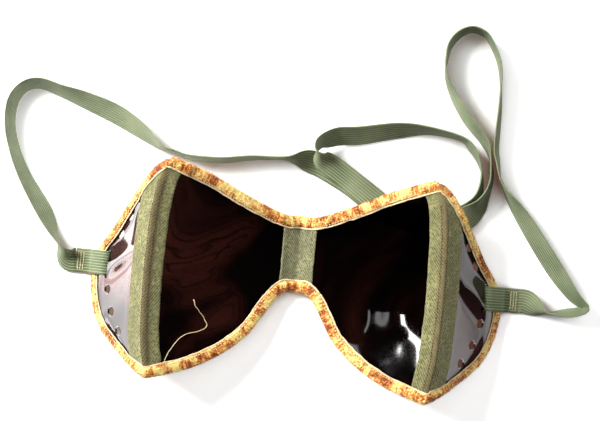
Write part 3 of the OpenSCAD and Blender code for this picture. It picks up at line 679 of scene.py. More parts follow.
def rim_line():
    """One half of the rim. For each point: its coordinates a and y in its own panel (a counts
    from the bridge on the lens and from the seam on the side panel), whether it is on the side
    panel, the outward step (da, dy) for one millimetre, and its length along the rim. The step
    follows the seam near a corner and points straight up or down near the nose."""
    parts, corners, total = [], [], 0.0
    for on_side, line in ((0, brow), (1, rim), (0, cheek[::-1])):
        on_panel = side_at if on_side else lens_at
        pts, at = evenly(line, RIM_STEP, run_length(on_panel(*line.T)))
        ahead = unit(np.gradient(on_panel(*pts.T), axis=0))
        out = unit(np.cross(side_n(pts[:, 1]) if on_side else LENS_N, ahead))
        slope, last = seam_slope(pts[:, 1]), at[-1] - at
        if on_side:
            da = out @ DOWN - out[:, 1] * slope * math.cos(TILT + SIDE_TILT)
        else:
            da = out @ TO_SEAM
        step = np.stack([da, out[:, 1]], 1)
        seamward = np.stack([slope * (1 - on_side), np.ones_like(slope)], 1)
        seamward /= np.sqrt(1 + slope ** 2)[:, None]
        if on_side:
            turns = (at, CORNER_REACH, seamward), (last, CORNER_REACH, -seamward)
        elif line is brow:
            turns = (last, CORNER_REACH, seamward), (at, NOSE_REACH, np.array([0, 1]))
        else:
            turns = (at, CORNER_REACH, -seamward), (last, NOSE_REACH, np.array([0, -1]))
        for away, reach, way in turns:
            w = (1 - smooth(away, 0, reach))[:, None]
            step = step * (1 - w) + w * way
        rows = np.column_stack([pts, np.full(len(pts), on_side), step, at + total])
        parts.append(rows if line is brow else rows[1:])
        total += at[-1]
        corners.append(total)
    return np.vstack(parts), corners


def rim_at(rows, x, v):
    """Points x outwards and at level v on the given rows of the rim line."""
    a = rows[:, 0, None] + x * rows[:, 3, None]
    y = rows[:, 1, None] + x * rows[:, 4, None]
    c = np.where(rows[:, 2, None] > 0, np.maximum(a, 0), np.minimum(a - seam_u(y), 0))
    return sheet_at(c, y, v, 0.6)


track, (BROW_END, SIDE_END, RIM_END) = rim_line()
NOSE_CUT, LENS_CUT, UPPER_CUT, LOWER_CUT = 10.4, 7.8, 20.8, 13.0
cuts = [NOSE_CUT, BROW_END - LENS_CUT, BROW_END + UPPER_CUT,
        SIDE_END - LOWER_CUT, SIDE_END + LENS_CUT, RIM_END - NOSE_CUT]
print("rim of one half:", round(RIM_END, 1), "mm; corners at", round(BROW_END, 1),
      round(SIDE_END, 1))

# %% [markdown]
# ## Plush binding
# The binding is a strip of silk plush folded over the edge of the sheet and sewn down. Its
# outside is a swollen oval with puckers across it, deepest at the bends, and short pile stands
# out of it. The pile is many slim triangles that lean along the strip.

# %% Binding shapes
OVAL_POWER, OVAL_OPEN, PUCKER, SIDE_NARROWER, STRIP_W = 2.7, 172, 0.085, 0.7, 12


def rows_between(start, end, half):
    """Rows of the rim line from one length to another, and the half that each one is on. A
    half of 0 runs over the nose, from the left half to the right one."""
    slack = 0.52 * RIM_STEP
    rows = track[(track[:, 5] > start - slack) & (track[:, 5] < end + slack)]
    if half:
        return rows, np.full((len(rows), 1), half)
    if start > 1:
        rows = rows[::-1]
    sign = np.r_[-np.ones(len(rows)), np.ones(len(rows) - 1)]
    return np.vstack([rows[::-1], rows[1:]]), sign[:, None]


def slot_level(rows):
    """Half height of the binding's inside: wide where it closes over a tape. Wide and plain
    stretches take turns at the cuts, and a wide one lies over the nose."""
    taped, way = 1, -1
    for cut in cuts:
        taped, way = taped + way * smooth(rows[:, 5:], cut - 1, cut + 1), -way
    return PLAIN_SLOT + (TAPED_SLOT - PLAIN_SLOT) * taped


def leg_of(rows):
    """How far the binding reaches over the sheet: a little less on the side panels."""
    run = rows[:, 5:]
    return (LEG - SIDE_NARROWER * rows[:, 2:3] * smooth(run, BROW_END + 4, BROW_END + 14)
            * (1 - smooth(run, SIDE_END - 12, SIDE_END - 3)))


def rounded(wave, power):
    """A cosine or sine bent so that the two of them draw an oval of this power."""
    return np.sign(wave) * np.abs(wave) ** (2 / power)


def pucker(along, count):
    """Puckers across the strip: a sum of sines of the length with slowly drifting phases."""
    out = np.zeros((len(along), count))
    for wave, power in ((1.9, 0.5), (2.7, 0.8), (4.3, 0.6), (7.1, 0.4)):
        phase = lumps(len(along), count, 22, 9, 1.6)
        out += power * np.sin(along * TURN / wave + phase)
    return out


print("the binding is cut at mm:", np.round(cuts, 1).tolist())

# %% Binding pieces
PILE_DENSITY, PILE_LENGTH, PILE_HALF_W, PILE_SUNK, PILE_LOWEST = 12.0, 0.62, 0.062, 0.05, 0.02


def binding(name, start, end, half, **where):
    """One stretch of the binding: an oval with a slot in it, puckered, with pile."""
    rows, sign = rows_between(start, end, half)
    slot, leg, order = slot_level(rows), leg_of(rows), np.arange(len(rows))[:, None]
    turn = np.radians(np.linspace(OVAL_OPEN, -OVAL_OPEN, 33))
    bead = BEAD + (leg - LEG) * 0.4
    centre, reach = (bead - leg) / 2, (bead + leg) / 2
    x = centre + reach * rounded(np.cos(turn), OVAL_POWER)
    z = rounded(np.sin(turn), OVAL_POWER)
    swell = PUCKER * pucker(order * RIM_STEP, len(turn))
    swell += lumps(len(rows), len(turn), 1.3, 1.3, 0.05)
    edge = smooth(order, 0, 2) * smooth(order[::-1], 0, 2)
    grow = 1 + (swell * np.where(z < -0.5, 0.3, 1) * edge) / BEAD
    x = centre + (x - centre) * (0.35 * (grow - 1) + 1)
    high = np.clip((slot + WALL) * z * grow, -(slot + WALL), None)
    deep, shallow = 0.1 - leg, np.full_like(leg, 0.3)
    grid = rim_at(rows, np.concatenate([x, deep, shallow, shallow, deep], 1),
                  np.concatenate([high, -slot, -slot, slot, slot], 1))
    grid = mirror(grid, sign)
    around = np.linspace(0, STRIP_W, grid.shape[1] + 1)
    uv = np.stack(np.broadcast_arrays((order + 1) * RIM_STEP, around), -1)
    closed_band(name + "_plush", grid, uv, pile(grid, len(turn)), look=plush_look,
                nodes=[name + "_binding"], **where)


def pile(grid, outer):
    """Slim triangles on the outside: they stand on random places, lean along the strip, and
    each is a random share of the full length."""
    a, b = grid[:-1, :outer - 1], grid[1:, :outer - 1]
    c, d = grid[:-1, 1:outer], grid[1:, 1:outer]
    area = np.linalg.norm(np.cross(b - a, c - a), axis=-1)
    number = int(area.sum() * PILE_DENSITY)
    pick = chance.choice(area.size, number, p=(area / area.sum()).ravel())
    i, j = np.unravel_index(pick, area.shape)
    a, b, c, d = (corner[i, j] for corner in (a, b, c, d))
    s, t = chance.random((2, number, 1))
    foot = (a * (1 - s) + b * s) * (1 - t) + (c * (1 - s) + d * s) * t
    out = unit(np.cross(b - a, c - a))
    out *= np.sign(((foot - grid[i, outer:].mean(1)) * out).sum(1))[:, None]
    lean = unit(b - a) * chance.normal(0.15, 0.45, (number, 1))
    lean = lean + unit(c - a) * chance.normal(0, 0.35, (number, 1))
    tip = foot + unit(out + lean) * PILE_LENGTH * chance.uniform(0.45, 1, (number, 1))
    tip[:, 2] = np.maximum(tip[:, 2], PILE_LOWEST)
    side = unit(np.cross(tip - foot, chance.normal(size=(number, 3)))) * PILE_HALF_W
    foot = foot - out * PILE_SUNK
    points = np.stack([foot - side, foot + side, tip], 1).reshape(-1, 3)
    return (points, np.arange(3 * number).reshape(-1, 3),
            np.stack([i * RIM_STEP, j * 0.33], 1))


fold = {"seam": ("left_lens", "right_lens", (-.0015, .01, .004), (.0015, .01, .004))}
bindings = [("bridge_top", 0, cuts[0], 0, fold), ("nose", cuts[-1], RIM_END, 0, fold)]
for half, side in HALVES:
    lens, panel = side + "_lens", side + "_side"
    upper = (lens, panel, (half * .050, .043, .024), (half * .0545, .043, .024))
    lower = (lens, panel, (half * .0535, -.041, .025), (half * .058, -.041, .025))
    stretches = (("brow", {"body": lens}), ("upper_corner", {"seam": upper}),
                 ("side", {"body": panel}), ("lower_corner", {"seam": lower}),
                 ("cheek", {"body": lens}))
    bindings += [(f"{side}_{stretch}", cuts[k], cuts[k + 1], half, where)
                 for k, (stretch, where) in enumerate(stretches)]
for *stretch, where in bindings:
    binding(*stretch, **where)

# %% [markdown]
# ## Cream selvedge and machine stitches
# The plush strip is woven with a cream selvedge, which shows as a thin pale line where the
# binding ends on the sheet. A machine has sewn it down with short stitches that sink into the
# pile, so each one is a small bead of thread rather than a straight bar.


# %% Selvedge and stitches
def beads(name, half, middles, ahead, up, sizes, **finish):
    """Many short stitches in one mesh. Each is a long bead: its radius is the root of one less
    the square of the way along it from its middle, and six points go round it."""
    middles, ahead, up = (mirror(v, half)[:, None] for v in (middles, ahead, up))
    aside = unit(np.cross(up, ahead))
    along, around = np.array([[-0.62], [0], [0.62]]), np.arange(6) * math.pi / 3
    radius = np.sqrt(1 - along ** 2)
    ring = np.stack(np.broadcast_arrays(along, radius * np.cos(around),
                                        radius * np.sin(around)), -1).reshape(-1, 3)
    local = np.vstack([[[-1, 0, 0]], ring, [[1, 0, 0]]])[None] * sizes[:, None] / 2
    points = middles + local[..., :1] * ahead + local[..., 1:2] * aside + local[..., 2:] * up
    pairs = [(k, k % 6 + 1) for k in range(1, 7)]
    one = [[0, b, a] for a, b in pairs]
    one += [[a + r, b + r, b + r + 6, a + r + 6] for r in (0, 6) for a, b in pairs]
    one += [[19, a + 12, b + 12] for a, b in pairs]
    faces = [[20 * n + i for i in f] for n in range(len(middles)) for f in one]
    return put(name, points.reshape(-1, 3), faces, **finish)


def sew(name, half, middle, above, ahead, size, most, **finish):
    """A row of stitches of nearly one size: a random share of it, from 0.8 to the most."""
    sizes = np.array(size) * chance.uniform(0.8, most, (len(middle), 1))
    return beads(name, half, middle, ahead, unit(above - middle), sizes, **finish)


def selvedge(name, start, end, half, **where):
    """The cream edge of the plush strip, a slim oval that lies on each face of the sheet or on
    the tape, and wanders by a tenth of a millimetre."""
    rows, sign = rows_between(start, end, half)
    t = np.radians(np.arange(8) * 45)
    x = -leg_of(rows) - 0.12 + lumps(len(rows), 1, 5, 1, 0.10) + 0.38 * np.cos(t)
    level = slot_level(rows) + 0.14 + 0.19 * np.sin(t)
    for face, way in (("front", 1), ("back", -1)):
        grid = mirror(rim_at(rows, x, way * level), sign)
        closed_band(f"{name}_selvedge_{face}", grid, look=cream_look, **where)


def along_rim(name, start, end, half, **where):
    """The white stitches of one binding, one every 1.3 mm along its inner edge."""
    rows, _ = rows_between(start, end, half)
    run = np.arange(rows[0, 5] + 0.8, rows[-1, 5] - 0.8, 1.32)
    rows = np.stack([np.interp(run, rows[:, 5], column) for column in rows.T], 1)
    rows[:, 2] = rows[:, 2] > 0.5
    x = -leg_of(rows) + 0.50 + chance.normal(0, 0.07, (len(rows), 1))
    level = slot_level(rows) + WALL * 0.95
    middle, above = (rim_at(rows, x, v)[:, 0] for v in (level, level + 1))
    ahead = unit(np.gradient(middle, axis=0))
    ahead = unit(ahead + chance.normal(0, 0.10, ahead.shape))
    sew(name + "_stitches", half, middle, above, ahead, [0.86, 0.46, 0.44], 1.15,
        look=cream_look, nodes=[name + "_stitching"], **where)


for *stretch, where in bindings:
    selvedge(*stretch, **where)
for *stretch, where in bindings:
    if "body" in where:
        along_rim(*stretch, **where)

# %% [markdown]
# ## Cloth tapes
# Each seam is closed by two tapes, one on either face, glued and sewn to both sheets. The outer
# tape swells over the fold, where the glue and the sheets' edges lie under it, and its long edges
# wander a little. Its twill ribs run at a slant, like those of any selvedge tape.

# %% Tapes
CREST, CREST_AT, CREST_HALF_W, EDGE_THINNER, SELVEDGE_THICKER = 0.42, -0.8, 1.9, 0.22, 0.10
brow_edge = brow[brow[:, 0] > SEAM_TOP / 4]
cheek_edge = cheek[cheek[:, 0] > SEAM_BOTTOM / 8][::-1]


def lens_leg(y):
    """Width of a seam tape's leg on the lens panel: narrower where it meets the rim."""
    high, low = (np.interp(y, edge[:, 1], edge[:, 0]) for edge in (brow_edge, cheek_edge))
    return np.minimum(LENS_LEG, seam_u(y) - np.where(y > 0, high, low) - 0.6)


def crest(c, y):
    """Height of the swelling beside the fold: a parabola over its width, which dies out under
    the bindings."""
    bump = np.clip(1 - ((np.asarray(c) - CREST_AT) / CREST_HALF_W) ** 2, 0, 1)
    ends = smooth(y, -38, -33) * (1 - smooth(y, 34, 39))
    return CREST * bump * ends


def tape(name, half, x, c, y, high, way, **finish):
    """A closed band of cloth: its columns go over its outside and come back on the glued side.
    Its UVs are x across and y along."""
    y = np.broadcast_to(y, x.shape)
    outer, inner = (mirror(sheet_at(c, y, way * v), half) for v in (high, TAPE_IN))
    uv = [np.concatenate([k, k[:, ::-1], k[:, :1]], 1) for k in (x, y)]
    return closed_band(name, np.concatenate([outer, inner[:, ::-1]], 1), np.stack(uv, -1),
                       **finish)


def seam_tape(half, side, face, way):
    """One tape of a seam, from its lens edge a to its side edge b, thin along both edges."""
    y = np.arange(-40.25, 42.2, 0.5)[:, None]
    a = -(lens_leg(y) + lumps(len(y), 1, 6, 1, 0.10))
    b = np.minimum(SIDE_LEG, rim_w(y) - 0.3) + lumps(len(y), 1, 8, 1, 0.08)
    b = np.minimum(b, rim_w(y) - 0.05)
    t = np.linspace(0, 1, 37)
    t = t + 0.35 * np.sin(2 * math.pi * t) / (2 * math.pi)
    c = a * (1 - t) + b * t
    rough = lumps(len(y), len(t), 2.4, 2.4, 0.018)
    sunk = smooth(c, a, a + 0.5) * (1 - smooth(c, b - 0.5, b))
    high = TAPE_OUT - EDGE_THINNER * (1 - sunk) + rough
    if way > 0:
        high = high + crest(c, y)
    return tape(f"{side}_tape_{face}", half, c, c, y, high, way, look=tape_look,
                nodes=[f"{side}_seam_tape_{face}"],
                seam=(side + "_lens", side + "_side", (half * .053, 0, .024),
                      (half * .060, 0, .024)))


def bridge_tape(face, way):
    """The straight tape over the bridge, with a thicker selvedge along both edges."""
    y = np.arange(-2.5, 24.71, 0.4)[:, None]
    edge = BRIDGE_TAPE_W / 2
    x = np.linspace(-edge, edge, 49) * (1 + lumps(len(y), 1, 7, 1, 0.10) / edge)
    u = np.abs(x)
    ridge = smooth(u, edge - 1.4, edge - 1) * (1 - smooth(u, edge - 0.5, edge))
    high = TAPE_OUT - 0.05 + SELVEDGE_THICKER * ridge + lumps(*x.shape, 2.6, 2.6, 0.018)
    return tape("bridge_" + face, np.where(x < 0, -1, 1), x, u - seam_u(y), y, high, way,
                look=bridge_look, nodes=["bridge_tape_" + face], **fold)


tapes = [seam_tape(half, side, *face) for half, side in HALVES
         for face in (("outer", 1), ("inner", -1))]
tapes += [bridge_tape(*face) for face in (("front", 1), ("back", -1))]
print("tapes:", [o.name for o in tapes])

# %% [markdown]
# ## Seam stitching
# Two rows run along each seam on the swelling, one on either side of the fold, and each row
# belongs to its own panel. The thread is brown and nearly level with the cloth.

# %% Seam and bridge stitching
ROW_END, BRIDGE_ROW = 36.2, 5.7


def seam_stitches(name, half, c0, pitch, **finish):
    """Stitches at distance c0 from the seam, from the lower binding to the upper one."""
    y = np.arange(-ROW_END, ROW_END, pitch)
    c = c0 + chance.normal(0, 0.08, len(y))
    level = TAPE_OUT + crest(c, y)
    middle, above = (sheet_at(c, y, v) for v in (level, level + 1))
    ahead = unit(sheet_at(c, y + 0.4, level) - sheet_at(c, y - 0.4, level))
    return sew(name, half, middle, above, ahead, [pitch * 0.78, 0.52, 0.38], 1.2,
               look=seam_look, **finish)


def bridge_stitches(half, side):
    """Small olive stitches next to the selvedge of the bridge tape."""
    y = np.arange(2.0, 21.6, 1.15)
    middle, above = (sheet_at(BRIDGE_ROW - seam_u(y), y, v) for v in (TAPE_OUT + 0.02, 2.0))
    ahead = np.broadcast_to([0.0, 1.0, 0.0], middle.shape)
    return sew(side + "_bridge_row", half, middle, above, ahead, [0.7, 0.36, 0.24], 1.2,
               look=olive_look, body=side + "_lens", nodes=["bridge_stitching_" + side])


stitched = []
for half, side in HALVES:
    for panel, c0, pitch in (("lens", -1.7, 1.25), ("side", 0.35, 1.05)):
        stitched.append(seam_stitches(f"{side}_{panel}_row", half, c0, pitch,
                                      body=f"{side}_{panel}",
                                      nodes=[f"{side}_seam_{panel}_stitching"]))
    stitched.append(bridge_stitches(half, side))
print("stitch rows:", [o.name for o in stitched])

# %% [markdown]
# ## Lens panels
# A lens panel is one sheet of celluloid cut to shape and left flat, but thin sheet that has been
# stored folded never stays true, so its middle bows by about a tenth of a millimetre.

# %% Lens panels
ACROSS, ALONG = 56, 60


def solid_sheet(name, front, back, **finish):
    """Closes two grids of points, front and back, with a wall round their shared edge."""
    rows, columns = front.shape[:2]
    number = np.arange(rows * columns).reshape(rows, columns)
    loop = np.concatenate([number[0, :-1], number[:-1, -1], number[-1, :0:-1], number[:0:-1, 0]])
    after, under = np.roll(loop, -1), rows * columns
    i, j = grid_corners(rows, columns, False)
    faces = i * columns + j
    faces = np.vstack([faces, faces[:, ::-1] + under,
                       np.stack([loop, loop + under, after + under, after], 1)])
    points = np.vstack([front.reshape(-1, 3), back.reshape(-1, 3)])
    return put(name, points, faces, angle=40, **finish)


def lens_panel(half, side):
    """Coons patch between the cheek edge and the brow edge: straight lines join them, and the
    last ones bend until they follow the seam."""
    t, s = np.linspace(0, 1, ACROSS)[:, None], np.linspace(0, 1, ALONG)
    edges = []
    for line in (cheek, brow):
        free = (line[:, 0] > BRIDGE_GAP) & (line[:, 0] < seam_u(line[:, 1]) - LENS_GAP)
        line = evenly(line[free], run_length(line[free])[-1] / (ALONG - 1))[0]
        line[0, 0] = BRIDGE_GAP
        edges.append(line.T)
    u, y = ((1 - t) * low + t * top for low, top in zip(*edges))
    u = u + (seam_u(y[:, -1:]) - LENS_GAP - u[:, -1:]) * s ** 3
    mask = np.sqrt(np.clip(16 * s * (1 - s) * t * (1 - t), 0, 1))
    bow = mask * (0.13 * np.sin(3.1 * s + 0.6) * np.cos(2.6 * t - 0.4)
                  + lumps(ACROSS, ALONG, 11, 12, 0.09))
    front, back = (mirror(lens_at(u, y, v + bow), half)[:, ::half]
                   for v in (SHEET / 2, -SHEET / 2))
    return solid_sheet(side + "_lens_sheet", front, back, look=lens_look,
                       body=side + "_lens", nodes=[side + "_lens"])


print("lens panels:", [lens_panel(*half_side).name for half_side in HALVES])

# %% [markdown]
# ## Side panels
# Six round vents and the strap's slot are punched through each side panel. The sheet is cut into
# triangles round them first and then laid on the panel's surface, so every hole is a real one
# with walls.

# %% The flat side sheet
VENTS = [[.27, .64], [.42, .47], [.56, .3], [.715, -.24], [.63, -.45], [.475, -.63]]


def loop_round(middle, rx, ry, count, power=2.0):
    """A round hole, or with a higher power a slot with rounded corners."""
    t = np.arange(count) * 2 * math.pi / count
    return np.stack([rx * rounded(np.cos(t), power), ry * rounded(np.sin(t), power)], 1) + middle


def inside_loop(p, loop):
    """Even-odd rule: how often a line from each point crosses the loop."""
    a, b = loop, np.roll(loop, -1, 0)
    cross = ((a[None, :, 1] > p[:, None, 1]) != (b[None, :, 1] > p[:, None, 1])) & (
        p[:, None, 0] < (b[:, 0] - a[:, 0]) * (p[:, None, 1] - a[:, 1])
        / np.where(b[:, 1] == a[:, 1], 1e-9, b[:, 1] - a[:, 1]) + a[:, 0])
    return cross.sum(1) % 2 == 1


def cut_sheet():
    """The flat sheet: points, and triangles between the outline, the holes and a field of
    points that keeps clear of them."""
    edge = evenly(rim[rim[:, 0] > 2.2], 0.8)[0]
    straight = np.linspace(edge[-1, 1], edge[0, 1], 110)[1:-1]
    outline = np.vstack([edge, np.stack([np.full_like(straight, SIDE_GAP), straight], 1)])
    holes = [loop_round([a * SIDE_W, b * (BROW_RISE if b > 0 else CHEEK_DROP)], VENT_R, VENT_R,
                        26) for a, b in VENTS]
    holes.append(loop_round([SLOT_REACH, SLOT_Y], SLOT_W / 2, SLOT_L / 2, 44, 3.4))
    field = np.meshgrid(np.arange(2, SIDE_W, 1.1), np.arange(-42, 44, 1.1))
    field = np.stack(field, -1).reshape(-1, 2)
    keep = (field[:, 0] < rim_w(field[:, 1]) - 1.0) & (np.abs(field[:, 1]) < 41)
    for hole in holes:
        off = (field - hole.mean(0)) / (np.ptp(hole, axis=0) / 2 + 0.5)
        keep &= (off ** 2).sum(1) > 1
    points, edges = np.zeros((0, 2)), []
    for ring in [outline] + holes:
        here = np.arange(len(ring)) + len(points)
        edges += zip(here.tolist(), np.roll(here, -1).tolist())
        points = np.vstack([points, ring])
    points = np.vstack([points, field[keep]])
    cut = delaunay_2d_cdt([Vector(p) for p in points], edges, [], 0, 1e-6)
    flat, triangles = np.array([v[:] for v in cut[0]]), np.array(cut[2])
    middle = flat[triangles].mean(1)
    inside = inside_loop(middle, outline)
    for hole in holes:
        inside &= ~inside_loop(middle, hole)
    return flat, triangles[inside]


sheet = cut_sheet()
print("side sheet:", len(sheet[0]), "points and", len(sheet[1]), "triangles")


# %% Side panels
def side_bow(a, b, half):
    """Height of the thin sheet's buckling: pushed out in a slanting ridge that the strap pulls
    up at the slot, hollow beside it, with a slow ripple that differs from side to side."""
    free = smooth(rim_w(b) - a, 1.5, 7) * smooth(a, 6, 11)
    pull = np.exp(-((b - 2.5 + (a - 16) * 0.42) / (3.2 + 0.10 * a)) ** 2)
    return free * (0.75 * pull * smooth(a, 5, 24) - 0.35 * np.sin(a / SIDE_W * 3.1) * (1 - pull)
                   + 0.16 * np.sin(b / 6.5 + a / 9 + (1.3 if half < 0 else 0)))


def side_panel(half, side, flat, triangles):
    """The cut sheet on both faces of the panel. A triangle's edge that no neighbour shares is
    on the outline or on a hole, and gets a wall."""
    a, b = flat.T
    bow = side_bow(a, b, half)
    both = np.vstack([side_at(a, b, v + bow) for v in (SHEET / 2, -SHEET / 2)])
    n, turned = len(flat), (triangles[:, ::-1] + len(flat)).tolist()
    pairs = [(t[k], t[k - 2]) for t in triangles.tolist() for k in range(3)]
    known = set(pairs)
    walls = [[b, a, a + n, b + n] for a, b in pairs if (b, a) not in known]
    faces = [f[::half] for f in triangles.tolist() + turned + walls]
    put(side + "_side_sheet", mirror(both, half), faces, look=side_look, body=side + "_side",
        nodes=[side + "_side_panel"], angle=40)
    print(side, "side panel:", len(faces), "faces,", len(walls), "on the walls")


for half, side in HALVES:
    side_panel(half, side, *sheet)

# %% [markdown]
# ## Sewn ends of the elastic
# At each side the elastic comes in flat over the rim, dives through the slot and returns behind
# the panel. The end is sewn to the band with three rows of thread across it.


# %% End loops and their stitches
def panel_xz(w, v):
    """Point of the side panel's section at reach w and level v, as x and z."""
    return [LENS_W * math.cos(TILT) + w * math.cos(SIDE_TILT) + v * math.sin(SIDE_TILT),
            BRIDGE_Z + LENS_W * math.sin(TILT) - w * math.sin(SIDE_TILT) + v * math.cos(SIDE_TILT)]


REACH, OVER = SIDE_W + BEAD, PLAIN_SLOT + WALL + STRAP_T / 2 + 0.3
RIM_X = panel_xz(REACH, 0)[0]
under_panel = [[REACH + .5, -1.05], [REACH - 1.4, -OVER], [REACH - 4, -OVER],
               [SLOT_REACH + 1.7, -OVER], [SLOT_REACH + .25, -1.1], [SLOT_REACH, 0]]
over_panel = [[SLOT_REACH + .25, 1.1], [SLOT_REACH + 1.7, OVER], [REACH - 4, OVER],
              [REACH - 1.4, OVER], [REACH + .9, 1.19]]
loop_line = curve([[STRAP_EXIT, .4], [RIM_X + 3, .4]]
                  + [panel_xz(w, v) for w, v in under_panel + over_panel]
                  + [[RIM_X + 3.75, 1.3], [STRAP_EXIT, 1.3]], 10)
tack_x, tack_y = np.meshgrid(STRAP_EXIT - np.array([1.0, 2.1, 3.2]),
                             SLOT_Y + np.linspace(-3.2, 3.2, 7), indexing="ij")
TACK_Z, TACK_SIZE = 1.80, [0.95, 0.42, 0.32]


def end_loop(half, side):
    """The ribbed section swept along the loop, across the strap's width."""
    path, at = evenly(loop_line, 0.35)
    ahead = unit(np.gradient(path, axis=0))
    normal = np.stack([-ahead[:, 1], ahead[:, 0]], 1)
    flat = path[:, None] + ribbed[:, 1:] * normal[:, None]
    across = np.broadcast_to(SLOT_Y + ribbed[:, 0], flat.shape[:2])
    grid = np.stack([flat[..., 0], across, flat[..., 1]], -1)
    elastic(side + "_loop", mirror(grid, half), at, body=side + "_side",
            nodes=[side + "_strap_end_loop"])


def tack(half, side):
    """Three rows of stitches over the band's end, each a little off its place and its way."""
    x, y = tack_x.ravel() + chance.normal(0, 0.06, tack_x.size), tack_y.ravel()
    middle = np.stack([x, y, np.full_like(x, TACK_Z)], 1)
    ahead = unit([0, 1, 0] + chance.normal(0, 0.12, middle.shape) * [1, 0, 0])
    up, sizes = (np.broadcast_to(v, middle.shape) for v in ([0, 0, 1], TACK_SIZE))
    beads(side + "_tack", half, middle, ahead, up, sizes, look=cream_look,
          body=side + "_side", nodes=[side + "_strap_tack"])


for half, side in HALVES:
    end_loop(half, side)
    tack(half, side)
print("loop length in mm:", round(run_length(loop_line)[-1], 1))

# %% [markdown]
# ## A loose thread
# One end of the rim's thread has come undone and lies over the left lens panel, with a small
# knot at its end. It is wound from the same cream thread as the stitches.

# %% Loose thread
THREAD_R, KNOT_R = 0.13, 0.12
hair_points = [[39.9, -10.6, .55], [38.6, -13.5, .3], [35.6, -17, .25], [33.9, -20.8, .5],
               [36.6, -23, .25], [41.2, -24.5, .22], [44, -26.6, .3], [46, -29.6, .22],
               [47.8, -32.8, .3], [48.9, -35.6, .9]]


def tube(name, path, radius, **finish):
    """A round section along a path; the radius may change along it."""
    ahead = unit(np.gradient(path, axis=0))[:, None]
    aside = unit(np.cross(ahead, [0.3, 0.2, 1.0]))
    t = (np.arange(8) * 2 * math.pi / 8)[:, None]
    ring = np.cos(t) * aside + np.sin(t) * np.cross(aside, ahead)
    return closed_band(name, path[:, None] + ring * radius[:, None, None], **finish)


hair_x, hair_y, hair_rise = evenly(curve(hair_points), 0.5)[0].T
hair = mirror(lens_at(hair_x / math.cos(TILT), hair_y, SHEET / 2 + hair_rise), -1)
wander = 0.08 * np.sin(np.arange(len(hair)) * 0.9)[:, None] * [1, 0.6, 0.2]
way = np.linspace(0, 1, len(hair))
tube("loose_thread", hair + wander, THREAD_R + KNOT_R * np.exp(-((way - 0.02) / 0.03) ** 2),
     look=cream_look, body="left_lens")
print("loose thread in mm:", round(run_length(hair)[-1]))

# %% [markdown]
# ## The floor and the light
# A pale table under soft light. The background burns out to white in the camera's own rays, with
# a painted red-brown shadow where the goggles hide the table. In the gloss of the side panels the
# table is a painted reflection, much brighter to the left. High above it is dark, which is why the
# lens panels look almost black.

# %% Floor
FLOOR_HALF, FLOOR_DOWN, OVAL_X, OVAL_Y, OVAL_DOWN = 1.6, 0.0001, 0.083, 0.050, 0.006


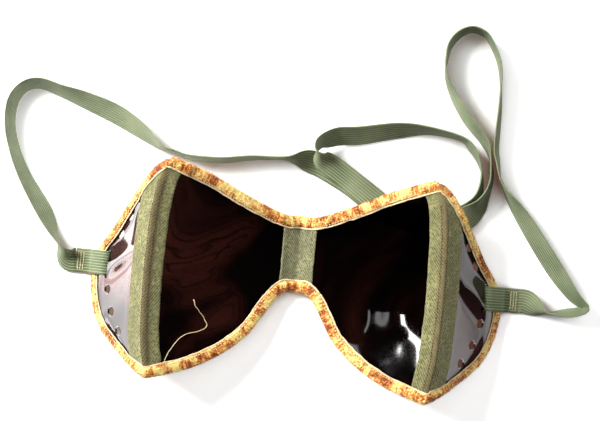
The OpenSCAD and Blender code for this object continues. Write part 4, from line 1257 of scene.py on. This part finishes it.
def floor_material():
    """Adds a glow to camera and glossy rays only. Glossy rays see a painted reflection, much
    brighter to the left; camera rays see white with painted shadow, dim and red-brown where the
    goggles hide the floor. Close under the right side panel, in an oval, the floor's colour is a
    painted red-brown shadow, as the sheet tints the light there."""
    made, tree, shader = new_material("pale floor")
    shader.inputs["Roughness"].default_value = 0.9
    x, y, _ = split(place(tree))
    in_gloss, in_view = (add_node(tree, "LightPath", output=f"Is {kind} Ray")
                         for kind in ("Glossy", "Camera"))
    # Painted reflection: for glossy rays the floor glows up to eleven times white, brightest to
    # the left, in soft patches.
    soft = ramp(noise(place(tree), 7.0, 1.0), 0.36, 0.60)
    painted_reflection = (ramp(x, 0.10, -0.16) * 9.5 + 1.5) * (soft * 0.7 + 0.3) * in_gloss
    near = add_node(tree, "AmbientOcclusion", {"Distance": 0.035}, "AO", samples=8)
    across, along = x / OVAL_X, (y + OVAL_DOWN) / OVAL_Y
    oval = ramp(across * across + along * along, 1.02, 0.94)
    # Painted shadow: under the right side panel, in an oval, where ambient occlusion is low, the
    # floor's colour turns red-brown.
    shade = ramp(x, 0.056, 0.060) * oval * ramp(near, 0.85, 0.65)
    free = shade * -0.35 + near
    # Painted shadow in the camera's glow: dim and red-brown where ambient occlusion is low, under
    # and round the goggles.
    painted_shadow_glow = in_view * (ramp(free, 0.50, 0.70) * 0.58 + 0.10)
    clear = ramp(free, 0.42, 0.56).math("MAXIMUM", in_gloss)
    below = blend_colours(clear, (0.85, 0.30, 0.20, 1), (1, 1, 1, 1))
    painted_shadow_colour = blend_colours(shade, (0.86, 0.86, 0.85, 1), (0.22, 0.06, 0.04, 1))
    wire(tree, painted_shadow_colour, shader.inputs["Base Color"])
    glow = add_node(tree, "Emission", {"Strength": painted_shadow_glow + painted_reflection, "Color": below})
    both = add_node(tree, "AddShader", {0: Value(tree, shader.outputs[0]), 1: glow})
    wire(tree, both, tree.nodes["Material Output"].inputs["Surface"])
    return made


def make_floor():
    """A wide flat square, a tenth of a millimetre below everything."""
    mesh, h = bpy.data.meshes.new("floor"), FLOOR_HALF
    mesh.from_pydata([(-h, -h, 0), (h, -h, 0), (h, h, 0), (-h, h, 0)], [], [(0, 1, 2, 3)])
    mesh.materials.append(floor_material())
    floor = add_object("floor", mesh)
    floor.location = (0, 0, -FLOOR_DOWN)


make_floor()
print("floor:", 2 * FLOOR_HALF, "m wide")


# %% Lamps and world
def lamp(name, azimuth, elevation, distance, width, height, power):
    """A soft box that looks at the goggles; azimuth counts from +X towards +Y."""
    data = bpy.data.lights.new(name, "AREA")
    data.shape, data.size, data.size_y, data.energy = "RECTANGLE", width, height, power
    thing = add_object(name, data)
    a, e = math.radians(azimuth), math.radians(elevation)
    thing.location = (distance * math.cos(e) * math.cos(a), distance * math.cos(e) * math.sin(a),
                      distance * math.sin(e))
    thing.rotation_euler = (math.pi / 2 - e, 0, a + math.pi / 2)


for settings in (("key", 148, 38, 1.2, 0.45, 0.45, 31),
                 ("window", 186.4, 48.3, 1.19, 0.030, 0.018, 0.065),
                 ("low window", 188.4, 45.6, 1.2, 0.10, 0.008, 0.010),
                 ("fill", 60, 62, 1.4, 0.9, 0.9, 3.5),
                 ("side", 30, 20, 1.4, 0.4, 0.4, 6)):
    lamp(*settings)

world = bpy.data.worlds.new("studio")
bpy.context.scene.world = world
world.use_nodes = True
sky = world.node_tree
level = ramp(split(place(sky, "Generated"))[2], 0.42, 0.06) * 0.38 + 0.06
in_view = add_node(sky, "LightPath", output="Is Camera Ray")
wire(sky, level.math("MAXIMUM", in_view), sky.nodes["Background"].inputs["Strength"])
print("lamps:", len(bpy.data.lights))
